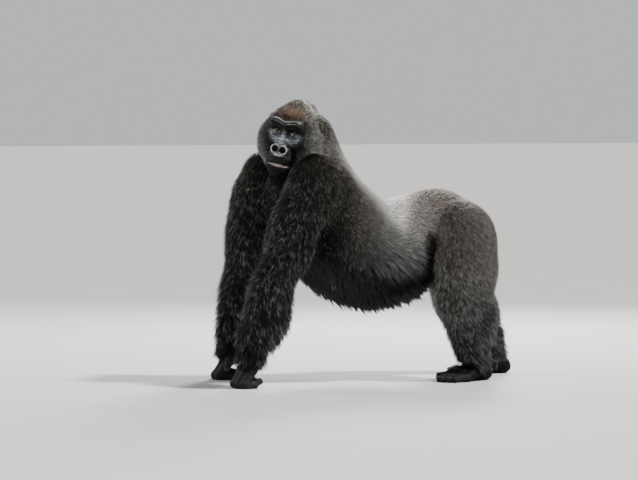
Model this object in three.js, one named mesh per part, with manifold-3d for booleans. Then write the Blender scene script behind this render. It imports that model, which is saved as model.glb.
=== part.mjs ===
// A silverback western gorilla standing on all fours, at life size, with its head turned to its left.
// The animal faces -Y, its left side is +X and +Z is up, in millimetres. Feet and knuckles stand on z = 0.
//
// Each part of the body is flesh round bones: cones with round ends and ellipsoids, blended into one
// smooth surface that reaches out to the tips of the coat. The surface is turned into triangles part by
// part, at a finer step on the head, hands and feet, and thin cuts at the joints part it into nodes.
import * as THREE from "three";
import Module from "manifold-3d";
import { mergeVertices } from "three/addons/utils/BufferGeometryUtils.js";

const wasm = await Module();
wasm.setup();

// ---------------------------------------------------------------- driving dimensions

const CUT = 0.5; // width of the cuts between nodes
const DEGREE = Math.PI / 180;
const LEFT = 1;
const RIGHT = -1;
const NAME = { [LEFT]: "left", [RIGHT]: "right" };

// Joints of the limbs. The fore end of the trunk is turned a little to the left of the hips.
const SHOULDER = { [LEFT]: [232, -318, 850], [RIGHT]: [-200, -450, 832] };
const ELBOW = { [LEFT]: [296, -496, 470], [RIGHT]: [-236, -484, 452] };
const WRIST = { [LEFT]: [266, -596, 138], [RIGHT]: [-214, -548, 138] };
const HIP = { [LEFT]: [112, 430, 668], [RIGHT]: [-112, 440, 668] };
const KNEE = { [LEFT]: [196, 394, 352], [RIGHT]: [-186, 520, 338] };
const ANKLE = { [LEFT]: [186, 482, 84], [RIGHT]: [-172, 700, 88] };

// The point midway between the eyes, and how the head is turned about it.
const EYES = [139, -394, 1116];
const HEAD_YAW = 54 * DEGREE;
const HEAD_ROLL = 13 * DEGREE;
const HEAD_NOD = 3 * DEGREE;
const EYE_APART = 42; // from the middle of the face to each eye
const EYE_RADIUS = 13;
const EYE_BACK = 6;
const EYE_UP = 3;

// Depth of the coat over the flesh.
const COAT = {
  back: 20, rump: 26, belly: 40, chest: 26, shoulder: 30, arm: 36, forearm: 48,
  thigh: 34, shin: 36, crown: 20, cheek: 22, hand: 8, foot: 6,
};

// ---------------------------------------------------------------- shapes as distance functions

const mix = (a, b, t) => a + (b - a) * t;
const clamp = (x, low, high) => Math.min(high, Math.max(low, x));

// A distance function that knows a box it lies in.
const inside = (low, high, field) => Object.assign(field, { low, high });

// Flesh round a bone from a to b: its radius goes evenly from ra to rb, and its ends are round.
function bone(a, b, ra, rb) {
  const [ax, ay, az] = a;
  const [dx, dy, dz] = [b[0] - ax, b[1] - ay, b[2] - az];
  const long = dx * dx + dy * dy + dz * dz;
  const thick = Math.max(ra, rb);
  return inside(
    a.map((v, i) => Math.min(v, b[i]) - thick),
    a.map((v, i) => Math.max(v, b[i]) + thick),
    (x, y, z) => {
      const t = clamp(((x - ax) * dx + (y - ay) * dy + (z - az) * dz) / long, 0, 1);
      return Math.hypot(x - ax - t * dx, y - ay - t * dy, z - az - t * dz) - mix(ra, rb, t);
    },
  );
}

// An ellipsoid of flesh. It leans about X by pitch, and is then turned about Z by yaw.
function muscle(centre, radii, coat = 0, yaw = 0, pitch = 0) {
  const angles = new THREE.Euler(pitch * DEGREE, 0, yaw * DEGREE, "ZYX");
  const turn = new THREE.Matrix4().makeRotationFromEuler(angles);
  const m = turn.invert().elements;
  const [rx, ry, rz] = radii.map((r) => r + coat);
  const far = Math.max(rx, ry, rz);
  return inside(
    centre.map((v) => v - far),
    centre.map((v) => v + far),
    (x, y, z) => {
      const [px, py, pz] = [x - centre[0], y - centre[1], z - centre[2]];
      const qx = (m[0] * px + m[4] * py + m[8] * pz) / rx;
      const qy = (m[1] * px + m[5] * py + m[9] * pz) / ry;
      const qz = (m[2] * px + m[6] * py + m[10] * pz) / rz;
      const near = Math.hypot(qx, qy, qz);
      const slope = Math.hypot(qx / rx, qy / ry, qz / rz);
      return slope < 1e-9 ? -Math.min(rx, ry, rz) : (near * (near - 1)) / slope;
    },
  );
}

// The lesser of two distances, rounded off over a width k where they meet.
const blend = (a, b, k) => Math.min(a, b) - (Math.max(k - Math.abs(a - b), 0) ** 2) / (4 * k);

// How far a point is outside a box, and less than 0 inside it.
const outside = (low, high, x, y, z) =>
  Math.max(low[0] - x, x - high[0], low[1] - y, y - high[1], low[2] - z, z - high[2]);

// One surface round several shapes, each blended with those before it. A point far outside their box gets
// its distance from the box, which is quicker to find and changes nothing near the surface.
function joined(k, shapes) {
  const low = [0, 1, 2].map((i) => Math.min(...shapes.map((s) => s.low[i])));
  const high = [0, 1, 2].map((i) => Math.max(...shapes.map((s) => s.high[i])));
  const away = k + 60;
  return inside(low, high, (x, y, z) => {
    const off = outside(low, high, x, y, z);
    if (off > away) return off;
    let d = shapes[0](x, y, z);
    for (let i = 1; i < shapes.length; i += 1) d = blend(d, shapes[i](x, y, z), k);
    return d;
  });
}

// A surface with hollows pressed into it.
function hollowed(k, shape, hollows) {
  return inside(shape.low, shape.high, (x, y, z) =>
    hollows.reduce((d, hollow) => -blend(-d, hollow(x, y, z), k), shape(x, y, z)),
  );
}

// ---------------------------------------------------------------- the head, in its own frame

// In the head's frame the face looks along -Y, its left is +X, and the origin is midway between the eyes.
const headTurn = new THREE.Matrix4()
  .makeTranslation(...EYES)
  .multiply(new THREE.Matrix4().makeRotationZ(HEAD_YAW))
  .multiply(new THREE.Matrix4().makeRotationY(HEAD_ROLL))
  .multiply(new THREE.Matrix4().makeRotationX(HEAD_NOD));
const onHead = (x, y, z) => new THREE.Vector3(x, y, z).applyMatrix4(headTurn).toArray();

// A field written in the head's frame, read in the body's.
function carried(matrix, field) {
  const m = matrix.clone().invert().elements;
  const [low, high] = [field.low, field.high].map((corner) => new THREE.Vector3(...corner));
  const box = new THREE.Box3(low, high).applyMatrix4(matrix);
  return inside(box.min.toArray(), box.max.toArray(), (x, y, z) =>
    field(
      m[0] * x + m[4] * y + m[8] * z + m[12],
      m[1] * x + m[5] * y + m[9] * z + m[13],
      m[2] * x + m[6] * y + m[10] * z + m[14],
    ),
  );
}

const bothSides = (make) => [LEFT, RIGHT].map(make);

function skull() {
  const { crown, cheek } = COAT;
  return joined(34, [
    muscle([0, 92, 28], [72, 110, 74], crown),
    bone([0, 24, 56], [0, 100, 96], 22 + crown, 23 + crown), // crest, rising from the brow
    bone([0, 100, 96], [0, 188, 64], 23 + crown, 60 + crown), // crest, falling to the nape
    ...bothSides((s) => muscle([s * 46, 88, 20], [40, 80, 64], crown, 0, 14)), // temple muscle
    ...bothSides((s) => muscle([s * 88, 80, -44], [42, 62, 72], cheek)), // chewing muscle
    ...bothSides((s) => bone([s * 78, 92, -100], [s * 28, 4, -164], 36 + cheek, 30)), // jaw
    muscle([0, 84, -116], [64, 76, 54], cheek), // throat
  ]);
}

function face() {
  return joined(13, [
    ...bothSides((s) => bone([0, -22, 36], [s * 54, -16, 41], 18, 20)), // brow ridge
    ...bothSides((s) => bone([s * 54, -16, 41], [s * 76, 10, 24], 19, 16)),
    ...bothSides((s) => bone([s * 72, 10, 22], [s * 74, 18, -18], 15, 17)), // outer rim of the socket
    ...bothSides((s) => bone([s * 42, 0, -28], [s * 80, 30, -34], 17, 24)), // cheekbone
    bone([0, -4, 20], [0, -18, -40], 13, 16), // bridge of the nose
    muscle([0, 26, -30], [58, 34, 60]),
    muscle([0, -2, -84], [54, 44, 52]), // muzzle
    muscle([0, -12, -114], [56, 38, 25]), // upper lip
    bone([-36, -16, -151], [36, -16, -151], 19, 19), // lower lip
    muscle([0, 0, -172], [44, 34, 30]), // chin
  ]);
}

function nose() {
  return joined(6, [
    ...bothSides((s) => muscle([s * 21.5, -44, -72], [22, 15, 24], 0, s * 22)), // wing round each nostril
    muscle([0, -46, -84], [16, 13, 24]),
  ]);
}

function head() {
  const shape = joined(8, [joined(20, [skull(), face()]), nose()]);
  return hollowed(6, shape, [
    ...bothSides((s) => muscle([s * EYE_APART, -20, EYE_UP], [25, 24, 17])), // eye socket
    ...bothSides((s) => muscle([s * 18, -63, -71], [14, 19, 14.5])), // nostril
    ...bothSides((s) => bone([0, -62, -135], [s * 56, -24, -140], 4.5, 4.5)), // line of the mouth
    ...bothSides((s) => bone([s * 44, -38, -50], [s * 64, -20, -104], 6, 8)), // fold beside the nose
  ]);
}

// An ear lies close to the head behind the jaw, with its bowl open forward and out.
const EAR = [114, 128, 26];

function ear(side) {
  const [x, y, z] = [side * EAR[0], EAR[1], EAR[2]];
  return hollowed(4, muscle([x, y, z], [14, 26, 34], 0, side * 26, -8), [
    muscle([x + side * 13, y - 6, z + 3], [12, 13, 19], 0, side * 26, -8),
  ]);
}

// ---------------------------------------------------------------- the trunk and neck

function trunk() {
  return joined(60, [
    muscle([0, 360, 670], [148, 172, 166], COAT.rump),
    ...bothSides((s) => muscle([96 * s, 486, 604], [96, 106, 160], COAT.rump)), // buttocks
    muscle([0, 225, 642], [160, 205, 163], COAT.back), // loin
    muscle([0, 50, 545], [205, 285, 192], COAT.belly),
    muscle([10, -112, 655], [196, 200, 232], COAT.belly - 8), // ribs
    muscle([22, -300, 690], [160, 108, 172], COAT.chest),
    bone([0, 60, 700], [8, -188, 872], 110, 134), // upper back
    muscle([124, -215, 850], [105, 116, 132], COAT.shoulder), // shoulder blades
    muscle([-104, -300, 830], [95, 116, 138], COAT.shoulder),
  ]);
}

function neck() {
  return joined(50, [
    bone([10, -190, 900], [20, -250, 1090], 140, 120),
    bone([20, -320, 900], [50, -340, 1000], 108, 84), // throat
  ]);
}

// ---------------------------------------------------------------- limbs

const moved = (a, off) => a.map((v, i) => v + off[i]);
// The point a share t of the way from a to b, moved by off.
const along = (a, b, t, off = [0, 0, 0]) => moved(a.map((v, i) => mix(v, b[i], t)), off);

function arm(side) {
  const [shoulder, elbow, wrist] = [SHOULDER[side], ELBOW[side], WRIST[side]];
  const deep = side === LEFT ? 1 : 0.78; // the right shoulder is drawn forward and shows less deep
  const raised = side === LEFT ? 22 : 42; // and it is shrugged up beside the cheek
  return joined(45, [
    muscle(along(shoulder, elbow, 0.02, [-24 * side, 44, raised]), [94, 100 * deep, 142], COAT.shoulder),
    bone(shoulder, elbow, 84 * deep + COAT.arm, 53 + COAT.arm),
    muscle(along(shoulder, elbow, 0.5), [66, 78 * deep, 150], COAT.arm),
    bone(elbow, wrist, 52 + COAT.arm, 38 + COAT.forearm),
    muscle(along(elbow, wrist, 0.35, [0, 14, 0]), [60, 66, 130], COAT.forearm),
  ]);
}

function leg(side) {
  const [hip, knee, ankle] = [HIP[side], KNEE[side], ANKLE[side]];
  return joined(45, [
    bone(hip, knee, 112 + COAT.thigh, 66 + COAT.thigh),
    muscle(along(hip, knee, 0.45, [8 * side, 52, -10]), [84, 110, 178], COAT.thigh), // hamstrings
    bone(knee, ankle, 62 + COAT.shin, 45 + COAT.shin),
    muscle(along(knee, ankle, 0.3, [0, 56, 0]), [56, 82, 134], COAT.shin), // calf
  ]);
}

// A frame at a point on the floor: u points ahead, v out to the animal's own side, and z up.
function standing(at, heading, side) {
  const [c, s] = [Math.cos(heading * DEGREE), Math.sin(heading * DEGREE)];
  const ahead = [side * s, -c];
  const out = [side * c, s];
  return (u, v, z) => [at[0] + u * ahead[0] + v * out[0], at[1] + u * ahead[1] + v * out[1], z];
}

// A hand on its knuckles: the fingers fold under, so the backs of their middle bones lie on the floor.
// Each digit is its chain of joints from the wrist or heel to the tip, with its half thickness.
const FINGERS = [
  { out: 48, back: 14, thick: 16 },
  { out: 17, back: 2, thick: 17.5 },
  { out: -16, back: 0, thick: 17.5 },
  { out: -48, back: 10, thick: 17 },
];
const HAND_HEADING = 8;

function fingers(side) {
  const at = standing(WRIST[side], HAND_HEADING, side);
  const folded = FINGERS.map(({ out, back, thick }) => ({
    chain: [
      at(-6, out * 0.5, 124),
      at(26 - back, out * 0.92, 78),
      at(66 - back, out, thick),
      at(18 - back, out * 0.97, thick - 2),
      at(-10 - back, out * 0.88, thick + 17),
    ],
    thick,
    nailFaces: [0, 0, -1],
  }));
  const thumb = {
    chain: [at(-10, -40, 116), at(14, -74, 84), at(24, -80, 48)],
    thick: 13.5,
    nailFaces: [-side, -0.6, 0],
  };
  return { folded, thumb, at };
}

function hand(side) {
  const wrist = WRIST[side];
  const { folded, thumb, at } = fingers(side);
  const c = COAT.hand;
  return joined(9, [
    bone([wrist[0], wrist[1], wrist[2] + 90], at(0, 0, 118), 40 + COAT.forearm, 34 + c),
    muscle(at(6, 0, 104), [60, 30, 44], c, HAND_HEADING * side), // back of the hand
    ...folded.flatMap(({ chain: [root, base, knuckle, fold, tip], thick }) => [
      bone(root, base, 24 + c, 20 + c / 2),
      bone(base, knuckle, 20, thick + 2),
      bone(knuckle, fold, thick + 2, thick),
      bone(fold, tip, thick, thick - 2),
    ]),
    bone(thumb.chain[0], thumb.chain[1], 22, 17),
    bone(thumb.chain[1], thumb.chain[2], 17, thumb.thick),
  ]);
}

// A foot flat on its sole, with the big toe standing off to the inner side.
const TOES = [
  { out: -8, reach: 190, thick: 15.5 },
  { out: 20, reach: 192, thick: 15.5 },
  { out: 46, reach: 180, thick: 15 },
  { out: 70, reach: 160, thick: 14 },
];
const FOOT_HEADING = { [LEFT]: 16, [RIGHT]: 10 };
const SOLE = 14; // height of the middle of the toes over the floor

function toes(side) {
  const at = standing(ANKLE[side], FOOT_HEADING[side], side);
  const small = TOES.map(({ out, reach, thick }) => ({
    chain: [
      at(20, out * 0.4, 38),
      at(reach - 72, out * 0.9, SOLE + 4),
      at(reach - 26, out * 1.02, SOLE + 8),
      at(reach, out * 1.06, SOLE - 2),
    ],
    thick,
    nailFaces: [0, 0, 1],
  }));
  const big = {
    chain: [at(22, -20, 34), at(88, -62, SOLE + 8), at(134, -82, SOLE + 3)],
    thick: 19,
    nailFaces: [0, 0, 1],
  };
  return { small, big, at };
}

function foot(side) {
  const ankle = ANKLE[side];
  const { small, big, at } = toes(side);
  const c = COAT.foot;
  return joined(10, [
    bone([ankle[0], ankle[1], ankle[2] + 90], [ankle[0], ankle[1], ankle[2] - 24], 38 + COAT.shin, 34 + c),
    muscle(at(-40, 0, 34), [42, 46, 38], c, FOOT_HEADING[side] * side), // heel
    bone(at(-30, 0, 34), at(80, 12, 28), 38 + c, 34 + c), // arch
    ...small.flatMap(({ chain: [root, base, middle, tip], thick }) => [
      bone(root, base, 28 + c, 19 + c / 2),
      bone(base, middle, 18, thick),
      bone(middle, tip, thick, thick - 1),
    ]),
    bone(big.chain[0], big.chain[1], 32, 24),
    bone(big.chain[1], big.chain[2], 22, big.thick),
  ]);
}

// ---------------------------------------------------------------- the whole body

// Every part with the width over which it blends into those before it. Parts that only touch blend little.
const WHOLE = [
  [trunk(), 0],
  [neck(), 60],
  ...bothSides((side) => [leg(side), 20]),
  ...bothSides((side) => [arm(side), 26]),
  [carried(headTurn, head()), 32],
  ...bothSides((side) => [carried(headTurn, ear(side)), 6]),
  ...bothSides((side) => [hand(side), 12]),
  ...bothSides((side) => [foot(side), 12]),
];

function body(x, y, z) {
  let d = Infinity;
  for (const [part, k] of WHOLE) {
    const off = outside(part.low, part.high, x, y, z);
    if (off > d + k + 60) continue;
    d = k ? blend(d, part(x, y, z), k) : part(x, y, z);
  }
  return d;
}

// ---------------------------------------------------------------- from a distance function to triangles

const CORNERS = [0, 1, 2, 3, 4, 5, 6, 7].map((i) => [i & 1, (i >> 1) & 1, i >> 2]);
// The 12 edges of a cell as pairs of corners, and the 6 faces as the edges round them.
const EDGES = [];
CORNERS.forEach((_, a) => [1, 2, 4].forEach((bit) => !(a & bit) && EDGES.push([a, a | bit])));
const FACES = [0, 1, 2].flatMap((axis) =>
  [0, 1].map((side) =>
    EDGES.map((_, e) => e).filter((e) => EDGES[e].every((corner) => CORNERS[corner][axis] === side)),
  ),
);

// The closed surface where a distance function is 0, in a box [low corner, high corner]. Each cell that the
// surface crosses gets one vertex for each sheet that passes through it, at the middle of its crossings.
function surface(field, [low, high], step) {
  const count = low.map((v, i) => Math.ceil((high[i] - v) / step) + 4);
  const start = low.map((v, i) => (v + high[i]) / 2 - ((count[i] - 1) * step) / 2);
  const at = (i, axis) => start[axis] + i * step;
  const index = (i, j, k) => i + count[0] * (j + count[1] * k);
  const values = new Float64Array(count[0] * count[1] * count[2]);
  for (let k = 0; k < count[2]; k += 1)
    for (let j = 0; j < count[1]; j += 1)
      for (let i = 0; i < count[0]; i += 1) {
        const [x, y, z] = [at(i, 0), at(j, 1), at(k, 2)];
        values[index(i, j, k)] = Math.max(field(x, y, z), outside(low, high, x, y, z)) || 1e-6;
      }
  const points = [];
  const sheets = new Map(); // a cell's edge to the vertex of its sheet
  const key = (i, j, k, edge) => index(i, j, k) * 12 + edge;
  for (let k = 0; k < count[2] - 1; k += 1)
    for (let j = 0; j < count[1] - 1; j += 1)
      for (let i = 0; i < count[0] - 1; i += 1) {
        const v = CORNERS.map(([a, b, c]) => values[index(i + a, j + b, k + c)]);
        const crossed = EDGES.map(([a, b]) => v[a] < 0 !== v[b] < 0);
        if (!crossed.includes(true)) continue;
        const sheet = EDGES.map((_, e) => e);
        const merge = (a, b) => {
          const [from, to] = [sheet[a], sheet[b]];
          sheet.forEach((s, e) => (sheet[e] = s === from ? to : s));
        };
        for (const face of FACES) {
          const cut = face.filter((e) => crossed[e]);
          if (cut.length === 2) merge(cut[0], cut[1]);
          if (cut.length !== 4) continue;
          for (const a of cut)
            for (const b of cut) {
              const shared = EDGES[a].filter((corner) => EDGES[b].includes(corner));
              if (a < b && shared.some((corner) => v[corner] < 0)) merge(a, b);
            }
        }
        for (const s of new Set(sheet.filter((_, e) => crossed[e]))) {
          const mine = EDGES.map((_, e) => e).filter((e) => crossed[e] && sheet[e] === s);
          const sum = [0, 0, 0];
          for (const e of mine) {
            const [a, b] = EDGES[e];
            const t = v[a] / (v[a] - v[b]);
            for (let axis = 0; axis < 3; axis += 1) sum[axis] += mix(CORNERS[a][axis], CORNERS[b][axis], t);
            sheets.set(key(i, j, k, e), points.length / 3);
          }
          points.push(...sum.map((total, axis) => at([i, j, k][axis] + total / mine.length, axis)));
        }
      }
  return { points, triangles: quads(count, values, index, sheets, key, points) };
}

// Two triangles across each grid edge that the surface crosses, from the four cells round it.
function quads(count, values, index, sheets, key, points) {
  const triangles = [];
  const gap = (a, b, axis) => points[3 * a + axis] - points[3 * b + axis];
  const between = (a, b) => Math.hypot(gap(a, b, 0), gap(a, b, 1), gap(a, b, 2));
  for (let axis = 0; axis < 3; axis += 1) {
    const unit = [0, 1, 2].map((n) => (n === axis ? 1 : 0));
    const [p, q] = [(axis + 1) % 3, (axis + 2) % 3];
    for (let k = 1; k < count[2] - 1; k += 1)
      for (let j = 1; j < count[1] - 1; j += 1)
        for (let i = 1; i < count[0] - 1; i += 1) {
          const inside = values[index(i, j, k)] < 0;
          if (inside === values[index(i + unit[0], j + unit[1], k + unit[2])] < 0) continue;
          const round = [[0, 0], [1, 0], [1, 1], [0, 1]].map(([a, b]) => {
            const cell = [i, j, k];
            cell[p] -= a;
            cell[q] -= b;
            const corner = (a << p) | (b << q);
            const edge = EDGES.findIndex(([from, to]) => from === corner && to === (corner | (1 << axis)));
            return sheets.get(key(...cell, edge));
          });
          const [a, b, c, d] = inside ? round : round.reverse();
          if (between(a, c) < between(b, d)) triangles.push(a, b, c, a, c, d);
          else triangles.push(a, b, d, b, c, d);
        }
  }
  return triangles;
}

// Moves each vertex onto the surface itself, by at most half a step, and leaves those on the box alone.
function settled(field, { points, triangles }, [low, high], step) {
  const small = step / 20;
  for (let i = 0; i < points.length; i += 3) {
    const p = points.slice(i, i + 3);
    if (p.some((v, axis) => v < low[axis] + step || v > high[axis] - step)) continue;
    const d = field(...p);
    const slope = [0, 1, 2].map((axis) => {
      const q = p.slice();
      q[axis] += small;
      return (field(...q) - d) / small;
    });
    const steep = Math.max(slope[0] ** 2 + slope[1] ** 2 + slope[2] ** 2, 0.25);
    for (let axis = 0; axis < 3; axis += 1)
      points[i + axis] -= clamp((d * slope[axis]) / steep, -step / 2, step / 2);
  }
  return { points, triangles };
}

// ---------------------------------------------------------------- fewer triangles

const minus = (a, b) => [a[0] - b[0], a[1] - b[1], a[2] - b[2]];
const dot = (a, b) => a[0] * b[0] + a[1] * b[1] + a[2] * b[2];
const cross = (a, b) => [a[1] * b[2] - a[2] * b[1], a[2] * b[0] - a[0] * b[2], a[0] * b[1] - a[1] * b[0]];

// Collapses the edges that matter least, round after round, until few enough triangles are left. An edge's
// cost is how far its new point lies from the planes of the triangles round it, and a little for its length.
function thinned({ points, triangles }, most) {
  const at = (v) => points.slice(3 * v, 3 * v + 3);
  let faces = [];
  for (let i = 0; i < triangles.length; i += 3) faces.push(triangles.slice(i, i + 3));
  while (faces.length > most) {
    const around = new Map();
    faces.forEach((face, f) => face.forEach((v) => around.set(v, [...(around.get(v) ?? []), f])));
    const planes = faces.map(([a, b, c]) => cross(minus(at(b), at(a)), minus(at(c), at(a))));
    const sizes = planes.map((plane) => Math.hypot(...plane) + 1e-9);
    const edges = faces.flatMap(([a, b, c]) => [[a, b], [b, c], [c, a]].filter(([p, q]) => p < q));
    const ranked = edges.map(([a, b]) => {
      const near = [...new Set([...around.get(a), ...around.get(b)])];
      const cost = (p) =>
        near.reduce((sum, f) => sum + dot(planes[f], minus(p, at(faces[f][0]))) ** 2 / sizes[f], 0);
      const choices = [at(a), at(b), at(a).map((v, i) => (v + points[3 * b + i]) / 2)];
      const costs = choices.map(cost);
      const best = costs.indexOf(Math.min(...costs));
      const long = dot(minus(at(a), at(b)), minus(at(a), at(b)));
      return { a, b, near, point: choices[best], cost: costs[best] + 0.002 * long * long };
    });
    ranked.sort((p, q) => p.cost - q.cost);
    const before = faces.length;
    const done = new Set();
    const gone = new Set();
    for (const { a, b, near, point } of ranked.slice(0, Math.ceil(ranked.length / 3))) {
      if (before - gone.size <= most) break;
      if (near.some((f) => gone.has(f) || faces[f].some((v) => done.has(v)))) continue;
      const ring = (v) => new Set(around.get(v).flatMap((f) => faces[f]));
      const [ringA, ringB] = [ring(a), ring(b)];
      const shared = [...ringA].filter((v) => ringB.has(v)).length;
      if (shared !== 4 || ringA.size + ringB.size - shared < 6) continue;
      const flips = near.some((f) => {
        if (faces[f].includes(a) && faces[f].includes(b)) return false;
        const [p, q, r] = faces[f].map((v) => (v === a || v === b ? point : at(v)));
        const now = cross(minus(q, p), minus(r, p));
        return dot(now, planes[f]) < 0.3 * Math.hypot(...now) * sizes[f];
      });
      if (flips) continue;
      for (const f of near) {
        if (faces[f].includes(a) && faces[f].includes(b)) gone.add(f);
        faces[f] = faces[f].map((v) => (v === b ? a : v));
      }
      point.forEach((v, i) => (points[3 * a + i] = v));
      [...ringA, ...ringB].forEach((v) => done.add(v));
    }
    if (!gone.size) break;
    faces = faces.filter((_, f) => !gone.has(f));
  }
  return { points, triangles: faces.flat() };
}

// ---------------------------------------------------------------- solids and cuts

const solidFrom = (points, triangles) =>
  new wasm.Manifold(
    new wasm.Mesh({
      numProp: 3,
      vertProperties: Float32Array.from(points),
      triVerts: Uint32Array.from(triangles),
    }),
  );

function solidOf(geometry) {
  geometry.deleteAttribute("normal");
  geometry.deleteAttribute("uv");
  const merged = mergeVertices(geometry, 1e-3);
  return solidFrom(merged.attributes.position.array, merged.index.array);
}

const boxAt = (centre, size) => solidOf(new THREE.BoxGeometry(...size).translate(...centre));

// All that lies on the far side of a plane [point, way it faces], kept back from it by a distance.
function beyond([point, way], back) {
  const turn = new THREE.Quaternion().setFromUnitVectors(
    new THREE.Vector3(0, 0, 1),
    new THREE.Vector3(...way).normalize(),
  );
  const far = 3000;
  return solidOf(
    new THREE.BoxGeometry(far, far, far)
      .translate(0, 0, far / 2 + back)
      .applyMatrix4(new THREE.Matrix4().makeRotationFromQuaternion(turn))
      .translate(...point),
  );
}

// The space that lies beyond all of some planes.
const space = (planes, back) =>
  planes.map((plane) => beyond(plane, back)).reduce((all, one) => all.intersect(one));

const ABOVE_FLOOR = beyond([[0, 0, 0], [0, 0, 1]], 0); // hands and feet are flattened on it

// The piece of a body that lies in a box and beyond some planes, without the spaces of its neighbours.
// Of what is left, it is the part that holds the seed point.
function piece({ box, step, most, seed, within = [], without: spaces = [] }) {
  const { points, triangles } = thinned(settled(body, surface(body, box, step), box, step), most);
  let solid = solidFrom(points, triangles);
  if (within.length) solid = solid.intersect(space(within, CUT / 2));
  for (const planes of spaces) solid = solid.subtract(space(planes, -CUT / 2));
  const probe = boxAt(seed, [4, 4, 4]);
  const found = solid.decompose().find((part) => part.intersect(probe).volume() > 0);
  if (!found) throw new Error(`no piece holds ${seed}`);
  return found;
}

const toward = (a, b) => b.map((v, i) => v - a[i]);

// Each joint's cut as one or more planes [point, way], which face down the limb or up the neck.
const TO_NECK = [[[-2, -215, 930], [-0.06, -0.3, 0.95]]];
const TO_HEAD = [...TO_NECK, [onHead(0, 158, -66), toward(onHead(0, 0, 0), onHead(0, -0.83, 0.56))]];
const TO_ARM = {
  [LEFT]: [[[178, -272, 809], [0.86, -0.48, 0.16]], [[154, -330, 974], [0.71, 0.3, -0.63]]],
  [RIGHT]: [[[-136, -374, 825], [-0.59, -0.8, 0.06]]],
};
const TO_LEG = (side) => [
  [[100 * side, 470, 600], [0.62 * side, -0.12, -0.78]],
  [[0, 0, 0], [side, 0, 0]],
  [[150 * side, 262, 450], [0.25 * side, 0.97, -0.1]],
];
const TO_FOREARM = (side) => [[ELBOW[side], toward(SHOULDER[side], WRIST[side])]];
const TO_HAND = (side) => [[moved(WRIST[side], [0, 0, 6]), [0, 0, -1]]];
const TO_SHIN = (side) => [[KNEE[side], toward(HIP[side], ANKLE[side])]];
const TO_FOOT = (side) => [[moved(ANKLE[side], [0, 0, 4]), [0, 0, -1]]];

// The ears are cut off level with the hair of the temples.
function TO_EAR(side) {
  const plane = (point, way) => [onHead(...point), toward(onHead(0, 0, 0), onHead(...way))];
  const [x, y, z] = [side * EAR[0], EAR[1], EAR[2]];
  const room = 38;
  return [
    plane([x, y, z], [side, 0.3, 0.3]),
    ...[-1, 1].flatMap((way) => [
      plane([x, y - way * room, z], [0, way, 0]),
      plane([x, y, z - way * room], [0, 0, way]),
    ]),
  ];
}

// A box round some points, with room on every side.
function round(room, ...points) {
  return [
    [0, 1, 2].map((axis) => Math.min(...points.map((p) => p[axis])) - room),
    [0, 1, 2].map((axis) => Math.max(...points.map((p) => p[axis])) + room),
  ];
}

// ---------------------------------------------------------------- eyes and nails

const eyeball = (side, radius) =>
  solidOf(new THREE.SphereGeometry(radius, 10, 7).translate(...onHead(side * EYE_APART, EYE_BACK, EYE_UP)));

const NAIL_ARCH = 42 * DEGREE; // half the arc that a nail spans round its digit
const NAIL_RISE = 1.2; // how far a nail stands out of the skin
const NAIL_SINK = 1.6; // and how deep it is set in

// A nail is a short curved plate on the last bone of a digit. Grown a little, it cuts its own bed.
function nail({ chain, thick, nailFaces }, grow = 0) {
  const [from, to] = chain.slice(-2).map((p) => new THREE.Vector3(...p));
  const ahead = to.clone().sub(from).normalize();
  const across = new THREE.Vector3(...nailFaces).cross(ahead).normalize();
  const up = ahead.clone().cross(across);
  const arc = [-1, -1 / 3, 1 / 3, 1].map((t) => t * (NAIL_ARCH + grow / thick));
  const rim = (angle, radius) => new THREE.Vector2(radius * Math.sin(angle), radius * Math.cos(angle));
  const outer = arc.map((angle) => rim(angle, thick + NAIL_RISE + grow));
  const inner = arc.map((angle) => rim(angle, thick - NAIL_SINK - grow)).reverse();
  const depth = thick * 1.1 + 2 * grow;
  const plate = new THREE.ExtrudeGeometry(new THREE.Shape([...inner, ...outer]), {
    depth,
    steps: 1,
    bevelEnabled: false,
  });
  plate.translate(0, 0, thick * 0.6 + grow - depth);
  return solidOf(plate.applyMatrix4(new THREE.Matrix4().makeBasis(across, up, ahead).setPosition(to)));
}

// A solid with each of some tools cut out of it.
const without = (solid, tools) => tools.reduce((left, tool) => left.subtract(tool), solid);

const GAP = 0.3; // between a nail or an eye and the flesh it is set in

// ---------------------------------------------------------------- nodes

// How finely each kind of node is traced, and the most triangles that its tracing keeps.
const TRUNK = { step: 30, most: 1800 };
const NECK = { step: 26, most: 560 };
const HEAD = { step: 8, most: 2600 };
const LIMB = { step: 26, most: 460 };
const HAND = { step: 7, most: 680 };
const FOOT = { step: 8, most: 600 };
const EAR_SHELL = { step: 6, most: 240 };

const SILVER = 0x8d8a86;
const BLACK = 0x242628;
const GREY = 0x5c5850;
const BROWN = 0x55463a;
const BARE_SKIN = 0x2b2c30;
const IRIS = 0x2a1408;
const HORN = 0x3a3634;

const gorilla = new THREE.Group();

function addNode(name, solid, colour, roughness = 0.8) {
  const { vertProperties, triVerts } = solid.getMesh();
  const geometry = new THREE.BufferGeometry()
    .setAttribute("position", new THREE.BufferAttribute(Float32Array.from(vertProperties), 3))
    .setIndex(new THREE.BufferAttribute(Uint32Array.from(triVerts), 1));
  geometry.computeVertexNormals();
  const material = new THREE.MeshStandardMaterial({ color: colour, roughness, metalness: 0 });
  const mesh = new THREE.Mesh(geometry, material);
  mesh.name = name;
  gorilla.add(mesh);
}

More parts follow.
